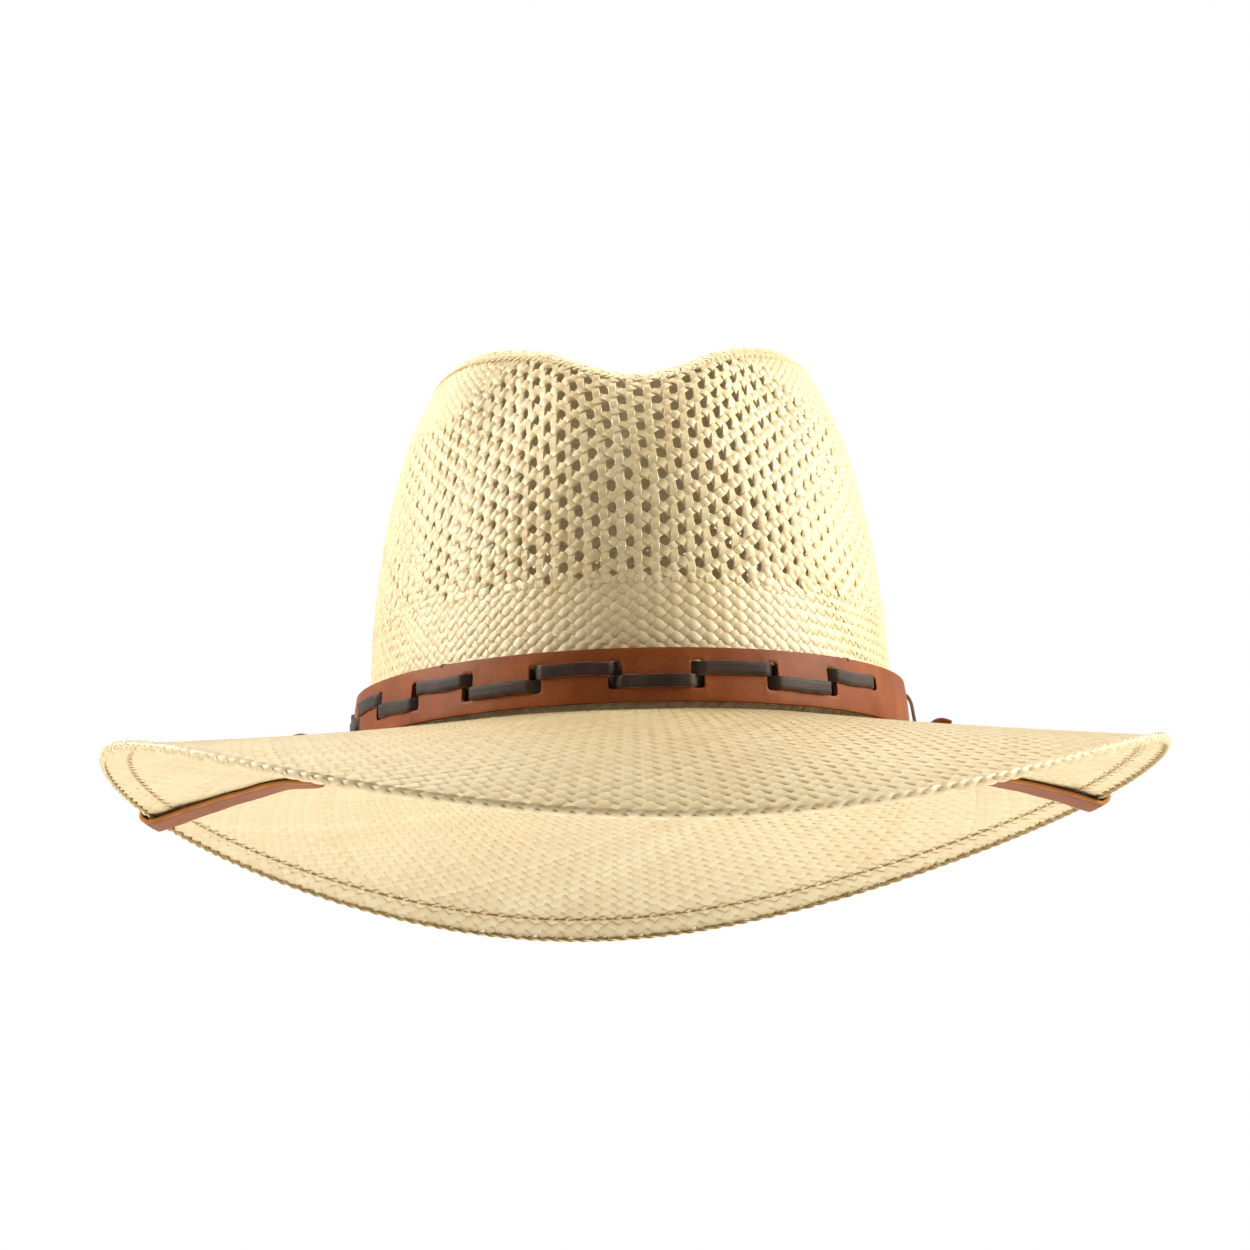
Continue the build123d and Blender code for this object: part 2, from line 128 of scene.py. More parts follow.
def outward(angle):
    """Level direction square to the foot's oval."""
    nx, ny = np.cos(angle) / FOOT_X, np.sin(angle) / FOOT_Y
    size = np.hypot(nx, ny)
    return np.stack([nx / size, ny / size, 0 * nx], -1)


def foot_point(angle, out=0.0, z=0.0):
    """Points at a distance outside the foot's oval."""
    angle, out, z = np.broadcast_arrays(np.asarray(angle, float), out, z)
    base = np.stack([FOOT_X * np.cos(angle), FOOT_Y * np.sin(angle), z], -1)
    return base + outward(angle) * out[..., None]


def brim_point(angle, w):
    """Points on the top of the brim, w millimetres of straw away from the foot."""
    angle, w = np.broadcast_arrays(np.asarray(angle, float), np.asarray(w, float))
    drop = droop(angle)
    u = w / BRIM_WIDTH
    fall = drop * (DROOP_STRAIGHT * u + (1 - DROOP_STRAIGHT) * u * np.abs(u))
    steps = 12
    reach = 0.0
    for k in range(steps):
        mid = u * (k + 0.5) / steps
        slope = drop / BRIM_WIDTH * (DROOP_STRAIGHT + 2 * (1 - DROOP_STRAIGHT) * mid)
        reach = reach + w / steps * np.sqrt(1 - slope**2)
    return foot_point(angle, reach * (1 + BRIM_SKEW * np.cos(angle)), -fall)


def unit(v):
    """Vectors scaled to a length of one."""
    return v / np.maximum(np.linalg.norm(v, axis=-1, keepdims=True), 1e-9)


def line_tangent(curve):
    """Unit tangents along an open line of points."""
    return unit(np.gradient(curve, axis=0))


def ring_tangent(curve):
    """Unit tangents round a closed ring of points."""
    return unit(np.roll(curve, -1, 0) - np.roll(curve, 1, 0))


def sideways(out):
    """Level direction across an outward one."""
    return np.array([-out[1], out[0], 0.0])


def with_normal(surface, angle, t, step):
    """Points of a surface and its outward unit normals."""
    here = surface(angle, t)
    round_it = surface(angle + 0.002, t) - surface(angle - 0.002, t)
    along_it = surface(angle, t + step) - surface(angle, t - step)
    normal = unit(np.cross(round_it, along_it))
    return here, (-normal if surface is brim_point else normal)


def turns_table():
    """Angles round the hat against the share of the foot's oval passed, over a few turns."""
    angle = np.linspace(-3 * TURN, 3 * TURN, 8641)
    step = np.hypot(FOOT_X * np.sin(angle), FOOT_Y * np.cos(angle))
    length = np.concatenate([[0], np.cumsum(step[1:] + step[:-1])])
    return (length / length[-1] - 0.5) * 6, angle


TURNS_TABLE = turns_table()


def even_angle(turns):
    """Angle after a number of turns, counted by length along the foot's oval."""
    return np.interp(turns, *TURNS_TABLE)


TABLE_T = np.linspace(0, 1.0, 1500)
TABLE_SHARE, TABLE_Z = bezier(TABLE_T)
TABLE_S = np.concatenate([[0], np.cumsum(np.hypot(np.diff(TABLE_SHARE * 93), np.diff(TABLE_Z)))])


def crown_side(angle, s):
    """Crown surface by angle and by length of straw up from the foot."""
    t = np.interp(s, TABLE_S, TABLE_T) + np.minimum(s, 0) / TABLE_S[1] * TABLE_T[1]
    return with_normal(crown_point, angle, t, 0.002)


def crown_top(x, y):
    """Crown surface above a point of the plan, for the flat-woven tip."""

    def above(x, y):
        share = np.hypot(x / FOOT_X, y / FOOT_Y)
        t = np.interp(share, TABLE_SHARE[::-1], TABLE_T[::-1])
        return crown_point(np.arctan2(y / FOOT_Y, x / FOOT_X), t)

    step = 0.3
    normal = np.cross(above(x + step, y) - above(x - step, y), above(x, y + step) - above(x, y - step))
    return above(x, y), unit(normal)


def brim_side(angle, w):
    """Brim's top surface by angle and by width of straw from the foot."""
    return with_normal(brim_point, angle, w, 0.2)


def brim_frame(side, degrees, w):
    """Top point of the brim with its normal and its outward direction, on one side."""
    angle = math.radians(degrees if side > 0 else 180 - degrees)
    top, normal = brim_side(angle, w)
    out = unit(brim_point(angle, w + 1) - brim_point(angle, w - 1))
    return top, normal, out


# ---------------------------------------------------------------- meshes
FLAT = [(-0.5, 0), (-0.34, 0.42), (0, 0.5), (0.34, 0.42), (0.5, 0), (0.34, -0.42), (0, -0.5), (-0.34, -0.42)]
RIBBON = [(-0.5, 0), (-0.40, 0.46), (0.40, 0.46), (0.5, 0), (0.40, -0.46), (-0.40, -0.46)]
LEATHER = [
    (-0.5, -0.3), (-0.5, 0.3), (-0.46, 0.46), (-0.2, 0.5), (0.2, 0.5), (0.46, 0.46),
    (0.5, 0.3), (0.5, -0.3), (0.46, -0.46), (0.2, -0.5), (-0.2, -0.5), (-0.46, -0.46),
]
CREASE = 42.0  # degrees: the long edges of a straw strand stay sharp, its bends are smooth


def link(name, data):
    """A new object in the scene."""
    made = bpy.data.objects.new(name, data)
    bpy.context.scene.collection.objects.link(made)
    return made


def grid_quads(rows, columns):
    """Quads between the points of a grid."""
    index = np.arange(rows * columns).reshape(rows, columns)
    corners = [index[:-1, :-1], index[:-1, 1:], index[1:, 1:], index[1:, :-1]]
    return np.stack(corners, -1).reshape(-1, 4)


def thicken(piece, thickness, offset=-1.0, edge=0.0, segments=2, even=False):
    """Gives a sheet its thickness, and rounds its edges; lengths in millimetres."""
    solid = piece.modifiers.new("thickness", "SOLIDIFY")
    solid.thickness, solid.offset, solid.use_even_offset = thickness * MM, offset, even
    if edge:
        bevel = piece.modifiers.new("edges", "BEVEL")
        bevel.width, bevel.segments, bevel.limit_method = edge * MM, segments, "ANGLE"
        bevel.angle_limit = math.radians(50)


class Mesh:
    """Collects points and faces of one piece, with three numbers at each point for its fibres."""

    def __init__(self):
        self.points, self.quads, self.fibres, self.tones, self.total = [], [], [], [], 0

    def add(self, points, quads, fibres=None, tone=0.5):
        """Fibre numbers are millimetres along and across the strand, and a strand number."""
        points = points.reshape(-1, 3)
        self.points.append(points)
        self.quads.append(quads + self.total)
        self.fibres.append(np.zeros_like(points) if fibres is None else fibres.reshape(-1, 3))
        self.tones.append(np.full(len(points), tone, float))
        self.total += len(points)

    def make(self, name, material, crease=None):
        """Writes the piece; edges that bend more than the crease angle, in degrees, stay sharp."""
        points = np.concatenate(self.points) * MM
        quads = np.concatenate(self.quads)
        mesh = bpy.data.meshes.new(name)
        mesh.vertices.add(len(points))
        mesh.vertices.foreach_set("co", points.astype(np.float32).ravel())
        mesh.loops.add(quads.size)
        mesh.loops.foreach_set("vertex_index", quads.astype(np.int32).ravel())
        mesh.polygons.add(len(quads))
        mesh.polygons.foreach_set("loop_start", np.arange(0, quads.size, 4, dtype=np.int32))
        mesh.update(calc_edges=True)
        mesh.validate()
        mesh.polygons.foreach_set("use_smooth", np.full(len(mesh.polygons), True))
        if crease:
            mesh.set_sharp_from_angle(angle=math.radians(crease))
        fibre = mesh.attributes.new("fibre", "FLOAT_VECTOR", "POINT")
        fibre.data.foreach_set("vector", np.concatenate(self.fibres).astype(np.float32).ravel())
        tone = mesh.attributes.new("tone", "FLOAT", "POINT")
        tone.data.foreach_set("value", np.concatenate(self.tones).astype(np.float32))
        mesh.materials.append(material)
        return link(name, mesh)


def tube_quads(rings, sides, closed=False, caps=True):
    """Quads of a tube of rings; an even number of sides lets quads close its ends."""
    around = np.arange(sides)
    start = np.arange(rings if closed else rings - 1)[:, None] * sides
    after = (start + sides) % (rings * sides)
    beside = (around + 1) % sides
    quads = np.stack([start + around, start + beside, after + beside, after + around], -1).reshape(-1, 4)
    if closed or not caps:
        return quads
    half = np.arange(sides // 2 - 1)
    first = np.stack([half, sides - 1 - half, sides - 2 - half, half + 1], -1)
    last = first[:, ::-1] + (rings - 1) * sides
    return np.concatenate([quads, first, last])


QUADS = {}  # quads of the tubes made so far, by their size


def add_strand(mesh, centre, across, normal, width, thick, number=0, section=RIBBON, tone=0.5, closed=False):
    """One flat strand of a given section along its centre points."""
    section = np.array(section)
    width, thick = np.broadcast_to(width, len(centre)), np.broadcast_to(thick, len(centre))
    points = (
        centre[:, None]
        + across[:, None] * (width[:, None] * section[:, 0])[..., None]
        + normal[:, None] * (thick[:, None] * section[:, 1])[..., None]
    )
    length = np.concatenate([[0], np.cumsum(np.linalg.norm(np.diff(centre, axis=0), axis=1))])
    fibres = np.empty(points.shape)
    fibres[..., 0] = length[:, None]
    fibres[..., 1] = width[:, None] * section[:, 0]
    fibres[..., 2] = number
    key = (len(centre), len(section), closed)
    if key not in QUADS:
        QUADS[key] = tube_quads(*key)
    mesh.add(points, QUADS[key], fibres, tone)


def lay_line(mesh, curve, across, width, thick, number=0, section=LEATHER):
    """One strand along a curve, its width in a given direction."""
    add_strand(mesh, curve, across, np.cross(line_tangent(curve), across), width, thick, number, section)


# ---------------------------------------------------------------- weaving
def wobble(a, b, seed):
    """Smooth unevenness of a lattice, about -1 to 1."""
    return (
        np.sin(a * 0.83 + b * 0.37 + seed)
        + np.sin(a * 0.31 - b * 0.71 + 2.1 * seed)
        + np.sin(a * 1.31 + b * 1.13 + 3.7 * seed)
    ) / 3


def lay_strands(mesh, surface, columns, rows, keep, sign, style, rng, first=0, broad=1.0):
    """Lays a family of strands on a surface.

    columns and rows hold the lattice place of every sample (strand, crossing, sample);
    keep marks the crossings that are woven, sign is 1 where the strand lies on top.
    """
    count = len(columns)
    place, normal = surface(columns, rows)
    tangent = np.gradient(place.reshape(count, -1, 3), axis=1).reshape(place.shape)
    across = unit(np.cross(normal, tangent))
    beside = surface(columns + 0.5, rows)[0] - surface(columns - 0.5, rows)[0]
    room = np.abs(np.sum(beside * across, -1))
    hump = style["hump"][None, None, :]
    height = style["lift"] + sign[..., None] * hump * style["height"]
    widths = rng.normal(1.0, style["vary"], count)[:, None, None]
    pinch = 1 - style["pinch"] * (1 - np.abs(hump))
    width = room * style["fill"] * style["close"](columns, rows) * widths * pinch * broad
    tones = rng.random(count)
    centre = place + normal * height[..., None]
    for k in range(count):
        flags = np.concatenate([[0], keep[k].astype(int), [0]])
        edges = np.flatnonzero(np.diff(flags))
        for start, stop in zip(edges[::2], edges[1::2]):
            if stop - start < 2:
                continue
            part = slice(start, stop)
            flat = [v[k, part].reshape(-1, 3) for v in (centre, across, normal)]
            tone = 0.5 + 0.5 * (tones[k] - 0.5)
            add_strand(mesh, *flat, width[k, part].ravel(), style["thick"], first + k * 1.7, tone=tone)


def plain_strands(mesh, surface, count, crossings, slant, inside, style, rng, first=0, only=None):
    """One family of a plain weave laid on the bias; slant is 1 or -1, rows count diamonds."""
    strands = np.arange(count) if only is None else only
    cross = np.arange(*crossings)
    offsets = style["offsets"]
    row = (cross[None, :, None] + offsets[None, None, :]) / 2 + 0 * strands[:, None, None]
    shift = rng.normal(0, style["shift"], len(strands))[:, None, None]
    column = strands[:, None, None] + shift + slant * row
    centre_row = row.mean(-1)
    centre_column = (strands[:, None, None] + slant * row).mean(-1)
    keep = inside(centre_column, centre_row)
    over = np.where(cross % 2 == 0, slant, -slant)[None, :] * np.ones((len(strands), 1))
    column = column + style["wander"] * wobble(column * 0.6, row * 0.6, 3.0 * slant + style["seed"])
    lead = style["lead"](even_angle(column / count))
    broad = 1 - slant * lead * np.where(slant * lead > 0, 0.42, 0.12)
    lay_strands(mesh, surface, column, row, keep, over, style, rng, first, broad)


def front_offset(angle):
    """Angle from the middle of the hat's front, -pi to pi."""
    return np.arctan2(np.sin(angle - FRONT), np.cos(angle - FRONT))


def front_share(angle):
    """How far a place is part of the hat's front, 0 to 1."""
    return np.exp(-((front_offset(angle) / 0.62) ** 2))


def parted(angle, amount):
    """Angles moved away from the middle of the front, where the weave is stretched."""
    off = front_offset(angle)
    return angle + amount * off * np.exp(-((off / 0.9) ** 2))


def crown_lead(angle):
    """How far the strands that fall to the right are broader than the others, -1 to 1."""
    return 0.35 + 0.65 * np.tanh(4 * np.sin(angle - FRONT))


def brim_lead(angle):
    """The same on the brim, where the broader family changes from front to back."""
    return 0.75 * np.cos(angle - FRONT) + 0.25 * np.sin(5 * angle)


THREE = np.array([-0.3, 0.0, 0.3])
TWO = np.array([-0.24, 0.24])


def weave_style(**changes):
    """How strands lie: rise, width and unevenness, with some values changed."""
    style = dict(
        offsets=THREE, hump=np.array([0.85, 1.0, 0.85]), height=0.21, thick=0.46, fill=1.04,
        vary=0.07, shift=0.03, wander=0.05, pinch=0.35, lift=-0.75, seed=0.0, lead=crown_lead,
        close=lambda column, row: 1.0,
    )
    style.update(changes)
    return style


CROWN_STRANDS = 132
CROWN_ROW = 3.15
SHOULDER_END = 121.5
BASE_STRETCH = 0.2  # how much wider and taller the base weave is at the front


def base_top(angle):
    """Length of straw from the foot to the lower edge of the vents."""
    return 37.5 - 2.5 * np.sin(angle)


def vent_top(angle):
    """Length of straw from the foot to the upper edge of the vents."""
    off = np.abs(front_offset(angle))
    return 93.5 + 29.0 * np.clip((math.radians(58) - off) / math.radians(26), 0, 1)


def make_crown_plain(straw, rng):
    """The closed weave at the foot of the crown and over its shoulders."""

    def base_spot(column, row):
        angle = even_angle(column / CROWN_STRANDS)
        return parted(angle, BASE_STRETCH), row * CROWN_ROW * (1 + BASE_STRETCH * front_share(angle))

    def shoulder_spot(column, row):
        return even_angle(column / CROWN_STRANDS), row * CROWN_ROW

    def in_base(angle, s):
        return s < base_top(angle)

    def in_shoulder(angle, s):
        return (s > vent_top(angle)) & (s < SHOULDER_END)

    pieces = []
    for name, spot, inside, low, high, style in (
        ("crown_base_weave", base_spot, in_base, 1.0, 42.0, weave_style(vary=0.09, seed=1.0)),
        (
            "crown_shoulder_weave", shoulder_spot, in_shoulder, 84.0, SHOULDER_END + 2,
            weave_style(vary=0.05, seed=1.0, fill=1.36, height=0.16),
        ),
    ):
        crossings = (int(low / CROWN_ROW * 2), int(high / CROWN_ROW * 2))
        for slant in (1, -1):
            mesh = Mesh()
            plain_strands(
                mesh, lambda column, row: crown_side(*spot(column, row)), CROWN_STRANDS, crossings, slant,
                lambda column, row: inside(*spot(column, row)), style, rng, first=slant * 500,
            )
            pieces.append(mesh.make(f"{name}_{len(pieces) % 2 + 1}", straw, CREASE))
    return pieces


VENT_COLUMNS = 118
VENT_ROW = 5.8
VENT_START = 33.5


def make_crown_vents(straw, rng):
    """Openwork in three directions: each strand goes over one neighbour and under the other."""
    pieces = []
    rows = int((126 - VENT_START) / VENT_ROW)

    def spot(column, row):
        angle = even_angle(column / VENT_COLUMNS)
        s = VENT_START + row * VENT_ROW + front_share(angle) * (0.7 * row + 0.11 * row**2)
        return parted(angle, 0.09 + 0.36 * np.clip((s - 45) / 65, 0, 1) ** 2), s

    def surface(column, row):
        return crown_side(*spot(column, row))

    def inside(column, row):
        angle, s = spot(column, row)
        return (s > base_top(angle) - 2.5) & (s < vent_top(angle) + 2.5)

    def close(column, row):
        """The strands are broader at the sides and back, so the holes are smaller there."""
        angle = even_angle(column / VENT_COLUMNS)
        side = np.clip((0.98 - np.cos(angle - FRONT)) / 0.22, 0, 1)
        return 1.0 + 0.66 * side - 0.12 * front_share(angle) * np.clip((row - 6) / 4, 0, 1)

    offsets = np.array([-0.28, 0.0, 0.28])
    style = weave_style(
        hump=np.array([0.6, 1.0, 0.6]), height=0.45, thick=0.62, vary=0.10, pinch=0.3, lift=-0.8, close=close
    )
    k = np.arange(-1, 4 * rows)
    half = np.arange(-1, 2 * rows)
    upright = np.arange(VENT_COLUMNS)
    slanted = np.arange(VENT_COLUMNS // 2)

    def lay(column, row, sign, first, fill):
        """One family of strands, as a piece of its own."""
        mesh = Mesh()
        jitter = rng.normal(0, 0.035, len(column))[:, None, None]
        keep = inside(column.mean(-1), row.mean(-1))
        sway = 0.10 * wobble(column * 0.7, row * 0.9, first)
        uneven = column + jitter + sway
        lay_strands(mesh, surface, uneven, row, keep, sign, {**style, "fill": fill}, rng, first)
        pieces.append(mesh.make(f"crown_vent_weave_{len(pieces) + 1}", straw, CREASE))

    row = 0.25 + (half[None, :, None] + offsets) / 2 + 0 * upright[:, None, None]
    column = upright[:, None, None] + 0 * row
    sign = np.where((half[None, :] + upright[:, None]) % 2 == 0, -1, 1)
    lay(column, row, sign, 11.0, 0.55)
    for slant in (1, -1):
        row = 0.25 * slant + (k[None, :, None] + offsets) / 4 + 0 * slanted[:, None, None]
        column = -2 * slant * slanted[:, None, None] + slant * (k[None, :, None] + offsets) / 2
        sign = np.where(k % 2 == 0, slant, -slant)[None, :] * np.ones((len(slanted), 1))
        lay(column, row, sign, 13.0 + slant, 0.98)
    return pieces


TOP_PITCH = 2.75
TOP_SHARE = 0.715  # the tip's size as a share of the foot's


def make_crown_top(straw, rng):
    """The flat-woven tip, on the bias to the centre line, with a twined ring round it."""
    mesh = Mesh()
    reach = int(FOOT_Y * TOP_SHARE / TOP_PITCH) + 2
    line = np.arange(-reach, reach + 1)

    def plan(a, b):
        return (a - b) * TOP_PITCH * 0.7071, (a + b) * TOP_PITCH * 0.7071

    def rising(a, b):
        return crown_top(*plan(a, b))

    def falling(a, b):
        return crown_top(*plan(b, a))

    for slant, surface, first in ((1, rising, 40.0), (-1, falling, 80.0)):
        fixed = line[:, None, None] + rng.normal(0, 0.03, len(line))[:, None, None]
        moving = line[None, :, None] + THREE
        fixed = fixed + 0.06 * wobble(fixed * 0.3, moving * 0.3, slant)
        moving = moving + 0 * fixed
        over = np.where((line[:, None] + line[None, :]) % 2 == 0, slant, -slant)
        x, y = plan(fixed.mean(-1), moving.mean(-1))
        keep = np.hypot(x / FOOT_X, y / FOOT_Y) < TOP_SHARE
        lay_strands(mesh, surface, fixed, moving, keep, over, weave_style(vary=0.08), rng, first)
    add_ring(mesh, TOP_SHARE + 0.004, rng)
    return [mesh.make("crown_top_weave", straw, CREASE)]


def add_ring(mesh, share, rng):
    """Two strands twined round the crown where the tip ends."""
    steps = 900
    t = np.interp(share, TABLE_SHARE[::-1], TABLE_T[::-1])
    angle = np.linspace(0, TURN, steps, endpoint=False)
    place, normal = with_normal(crown_point, angle, t + 0 * angle, 0.002)
    across = np.cross(normal, ring_tangent(place))
    turns = 90
    for k in range(2):
        phase = angle * turns + k * math.pi
        sway, rise = 0.5 * np.sin(phase), -0.5 + 0.3 * np.cos(phase)
        centre = place + across * sway[:, None] + normal * rise[:, None]
        add_strand(mesh, centre, across, normal, 1.3, 0.6, 300 + k, tone=rng.random(), closed=True)


BRIM_STRANDS = 190
BRIM_SLOPE = 0.70


def brim_rows():
    """Table from the row of a diamond to the width of straw from the foot."""
    w = np.linspace(-1.5, BRIM_WIDTH + 2, 400)
    perimeter = FOOT_ROUND + TURN * np.maximum(w, 0) * 0.97
    step = perimeter / BRIM_STRANDS * BRIM_SLOPE
    rows = np.concatenate([[0], np.cumsum(np.diff(w) * 2 / (step[1:] + step[:-1]))])
    return rows, w


BRIM_TABLE = brim_rows()


CUT_LONG, CUT_WIDE = 10.6, 2.4  # the strap slits in the woven sheet


def slit_free(angle, w):
    """True where the brim isn't cut for the chin strap."""
    point = brim_point(angle, w)
    free = np.ones(point.shape[:-1], bool)
    for side in (-1, 1):
        turn = math.radians(side * STRAP_LEAVE + 90)
        dx, dy = point[..., 0] - side * SLIT_X, point[..., 1] - SLIT_Y
        long = dx * math.cos(turn) + dy * math.sin(turn)
        wide = -dx * math.sin(turn) + dy * math.cos(turn)
        free &= (np.abs(long) > CUT_LONG / 2) | (np.abs(wide) > CUT_WIDE / 2)
    return free


def make_brim(straw, shaded_edge_straw, rng):
    """The brim's weave in four pieces, the hem turned under it, and its plaited edge."""

    def surface(column, row):
        return brim_side(even_angle(column / BRIM_STRANDS), np.interp(row, *BRIM_TABLE))

    def under(column, row):
        place, normal = surface(column, row)
        turned = np.clip((np.interp(row, *BRIM_TABLE) - BRIM_WIDTH + HEM_WIDTH) / 4.0, 0, 1)
        return place - normal * (0.25 + 0.5 * turned * turned * (3 - 2 * turned))[..., None], normal

    def sheet(low, high):
        """Test for the crossings between two widths, outside the strap slits."""

        def inside(column, row):
            w = np.interp(row, *BRIM_TABLE)
            return (w > low) & (w < high) & slit_free(even_angle(column / BRIM_STRANDS), w)

        return inside

    def weave(mesh, face, crossings, slant, low, inset, number, some=None):
        inside = sheet(low, BRIM_WIDTH - inset)
        plain_strands(mesh, face, BRIM_STRANDS, crossings, slant, inside, style, rng, number, some)

    first, last = (int(np.interp(BRIM_WIDTH - inset, *BRIM_TABLE[::-1]) * 2) for inset in (HEM_WIDTH, 0))
    style = weave_style(
        offsets=TWO, hump=np.array([1.0, 1.0]), height=0.14, thick=0.38, fill=1.17, vary=0.09, pinch=0.0,
        lift=-0.7, seed=2.0, lead=brim_lead,
    )
    pieces = []
    for slant in (1, -1):
        for half in (0, 1):
            mesh = Mesh()
            some = np.arange(half, BRIM_STRANDS, 2)
            weave(mesh, surface, (0, last + 1), slant, -1.5, 1.2, slant * 900 + half, some)
            pieces.append(mesh.make(f"brim_weave_{len(pieces) + 1}", straw, CREASE))
    mesh = Mesh()
    for slant in (1, -1):
        weave(mesh, under, (first, last + 1), slant, BRIM_WIDTH - HEM_WIDTH, 1.4, slant * 1300)
    pieces.append(mesh.make("brim_hem_weave", straw, CREASE))
    # the plait's straw carries a painted shade, darker than the weave's
    pieces.append(make_brim_plait(shaded_edge_straw, rng))
    return pieces


def make_brim_plait(straw, rng):
    """Plaited edge of the brim: three flat strands turning round each other."""
    mesh = Mesh()
    leaves = 225
    steps = leaves * 8
    angle = np.linspace(0, TURN, steps, endpoint=False)
    place, normal = brim_side(angle, BRIM_WIDTH - 1.5)
    out = np.cross(ring_tangent(place), normal)
    for k in range(3):
        phase = angle * leaves / 3 + k * TURN / 3
        rise, reach = -1.15 + 0.8 * np.sin(phase), 0.1 + 0.36 * np.sin(2 * phase)
        centre = place + normal * rise[:, None] + out * reach[:, None]
        ahead = ring_tangent(centre)
        face = unit(out + normal * (0.45 * np.sin(phase))[:, None])
        wide = unit(np.cross(face, ahead))
        face = np.cross(ahead, wide)
        add_strand(mesh, centre, wide, face, 2.1, 0.7, 600 + k, FLAT, rng.random(), closed=True)
    return mesh.make("brim_edge_plait", straw, CREASE)


def make_hem_thread(thread):
    """Running stitches along the inner edge of the hem, under the brim."""
    mesh = Mesh()
    count, samples = 380, 7
    for k in range(count):
        angle = (k + np.linspace(0.04, 0.92, samples)) / count * TURN
        bow = np.sin(np.linspace(0, math.pi, samples))
        place, normal = brim_side(angle, BRIM_WIDTH - HEM_WIDTH + 0.5)
        across = np.cross(line_tangent(place), normal)
        centre = place + normal * (-1.05 - 0.42 * bow**0.5)[:, None]
        add_strand(mesh, centre, across, normal, 0.55, 0.45, k * 0.37)
    return mesh.make("hem_running_stitches", thread)


# ---------------------------------------------------------------- hatband and laces
def arc_per_radian(angle):
    """Length of the band for a radian round the hat."""
    x, y = (foot + BAND_ARC_OUT for foot in (FOOT_X, FOOT_Y))
    return math.hypot(x * math.sin(angle), y * math.cos(angle))


def arc_table():
    """Angle by arc along the band, clockwise from the first slot."""
    step, count = 0.12, 5600
    angles = [math.radians(SLOT_FIRST)]
    for _ in range(count):
        angles.append(angles[-1] - step / arc_per_radian(angles[-1]))
    return np.arange(len(angles)) * step, np.array(angles)


ARC, ARC_ANGLE = arc_table()
ROUND = float(np.interp(-TURN + math.radians(SLOT_FIRST), ARC_ANGLE[::-1], ARC[::-1]))


def band_angle(arc):
    """Angle at an arc along the band, also before the first slot."""
    return np.interp(np.mod(arc, ROUND), ARC, ARC_ANGLE)


def band_face(arc, h, proud=0.0):
    """Point on the outer face of the leather band, h above its lower edge."""
    share = h / BAND_TALL
    crown = 0.35 * (1 - (2 * share - 1) ** 2)
    out = BAND_GAP_LOW + (BAND_GAP_HIGH - BAND_GAP_LOW) * share + BAND_THICK + crown + proud
    return foot_point(band_angle(arc), out, BAND_LOW + h)


def slot_ring(count_tall, count_wide, half_wide, half_tall, corner):
    """Outline of a rounded slot, with its points shared out as on the grid's frame round it."""
    xs, ys = np.linspace(-1, 1, count_wide), np.linspace(-1, 1, count_tall)
    frame_points = [(x, -1) for x in xs[:-1]] + [(1, y) for y in ys[:-1]]
    frame_points += [(-x, -y) for x, y in frame_points]
    ring = []
    for x, y in frame_points:
        px, py = x * half_wide, y * half_tall
        cx, cy = max(0.0, abs(px) - (half_wide - corner)), max(0.0, abs(py) - (half_tall - corner))
        reach = math.hypot(cx, cy)
        if reach > corner:
            px = math.copysign(half_wide - corner + cx / reach * corner, px)
            py = math.copysign(half_tall - corner + cy / reach * corner, py)
        ring.append((px, py))
    return np.array(frame_points), np.array(ring)


def make_hatband(leather):
    """Smooth leather band with its lace slots, one sheet given thickness and rounded edges."""
    mesh = Mesh()
    middle = BAND_TALL / 2
    half = 4.0
    tall_points, wide_points = 13, 7
    rows = np.linspace(0, BAND_TALL, tall_points)
    frame_points, _ = slot_ring(tall_points, wide_points, 1, 1, 0.5)
    for number in range(SLOT_COUNT):
        tall = SLOT_HALF_TALL if number else SLOT_HALF_TALL - LACE_SPREAD
        centre = middle + (SLOT_HALF_TALL - tall)
        _, ring = slot_ring(tall_points, wide_points, SLOT_HALF_WIDE, tall, SLOT_ROUND)
        outer = np.stack([frame_points[:, 0] * half, middle + frame_points[:, 1] * middle], -1)
        inner = ring + [0, centre]
        layers = []
        for share, proud in ((0.0, -0.12), (0.09, 0.10), (0.3, 0.10), (0.62, 0.03), (1.0, 0.0)):
            flat = inner * (1 - share) + outer * share
            layers.append(band_face(number * SLOT_PITCH + flat[:, 0], flat[:, 1], proud))
        points = np.array(layers)
        mesh.add(points, tube_quads(len(layers), points.shape[1], caps=False))
        gap_end = ROUND if number == SLOT_COUNT - 1 else (number + 1) * SLOT_PITCH
        start, stop = number * SLOT_PITCH + half, gap_end - half
        arcs = np.linspace(start, stop, max(3, int((stop - start) / 2.0)))
        grid = band_face(arcs[:, None] + 0 * rows[None], rows[None] + 0 * arcs[:, None])
        mesh.add(grid, grid_quads(len(arcs), len(rows)))
    band = mesh.make("leather_band", leather)
    weld = band.modifiers.new("weld", "WELD")
    weld.merge_threshold = 0.00002
    thicken(band, BAND_THICK, edge=0.35, segments=3, even=True)
    return band


def lace_share(arc, over_even):
    """1 where a lace lies over the band, 0 where it lies behind it."""
    slot = np.round(arc / SLOT_PITCH)
    x = np.clip((arc - slot * SLOT_PITCH) / LACE_DIP, -1, 1)
    blend = 0.5 + 0.5 * (1.5 * x - 0.5 * x**3)
    after = (np.mod(slot, 2) == 0) == over_even
    return np.where(after, blend, 1 - blend)


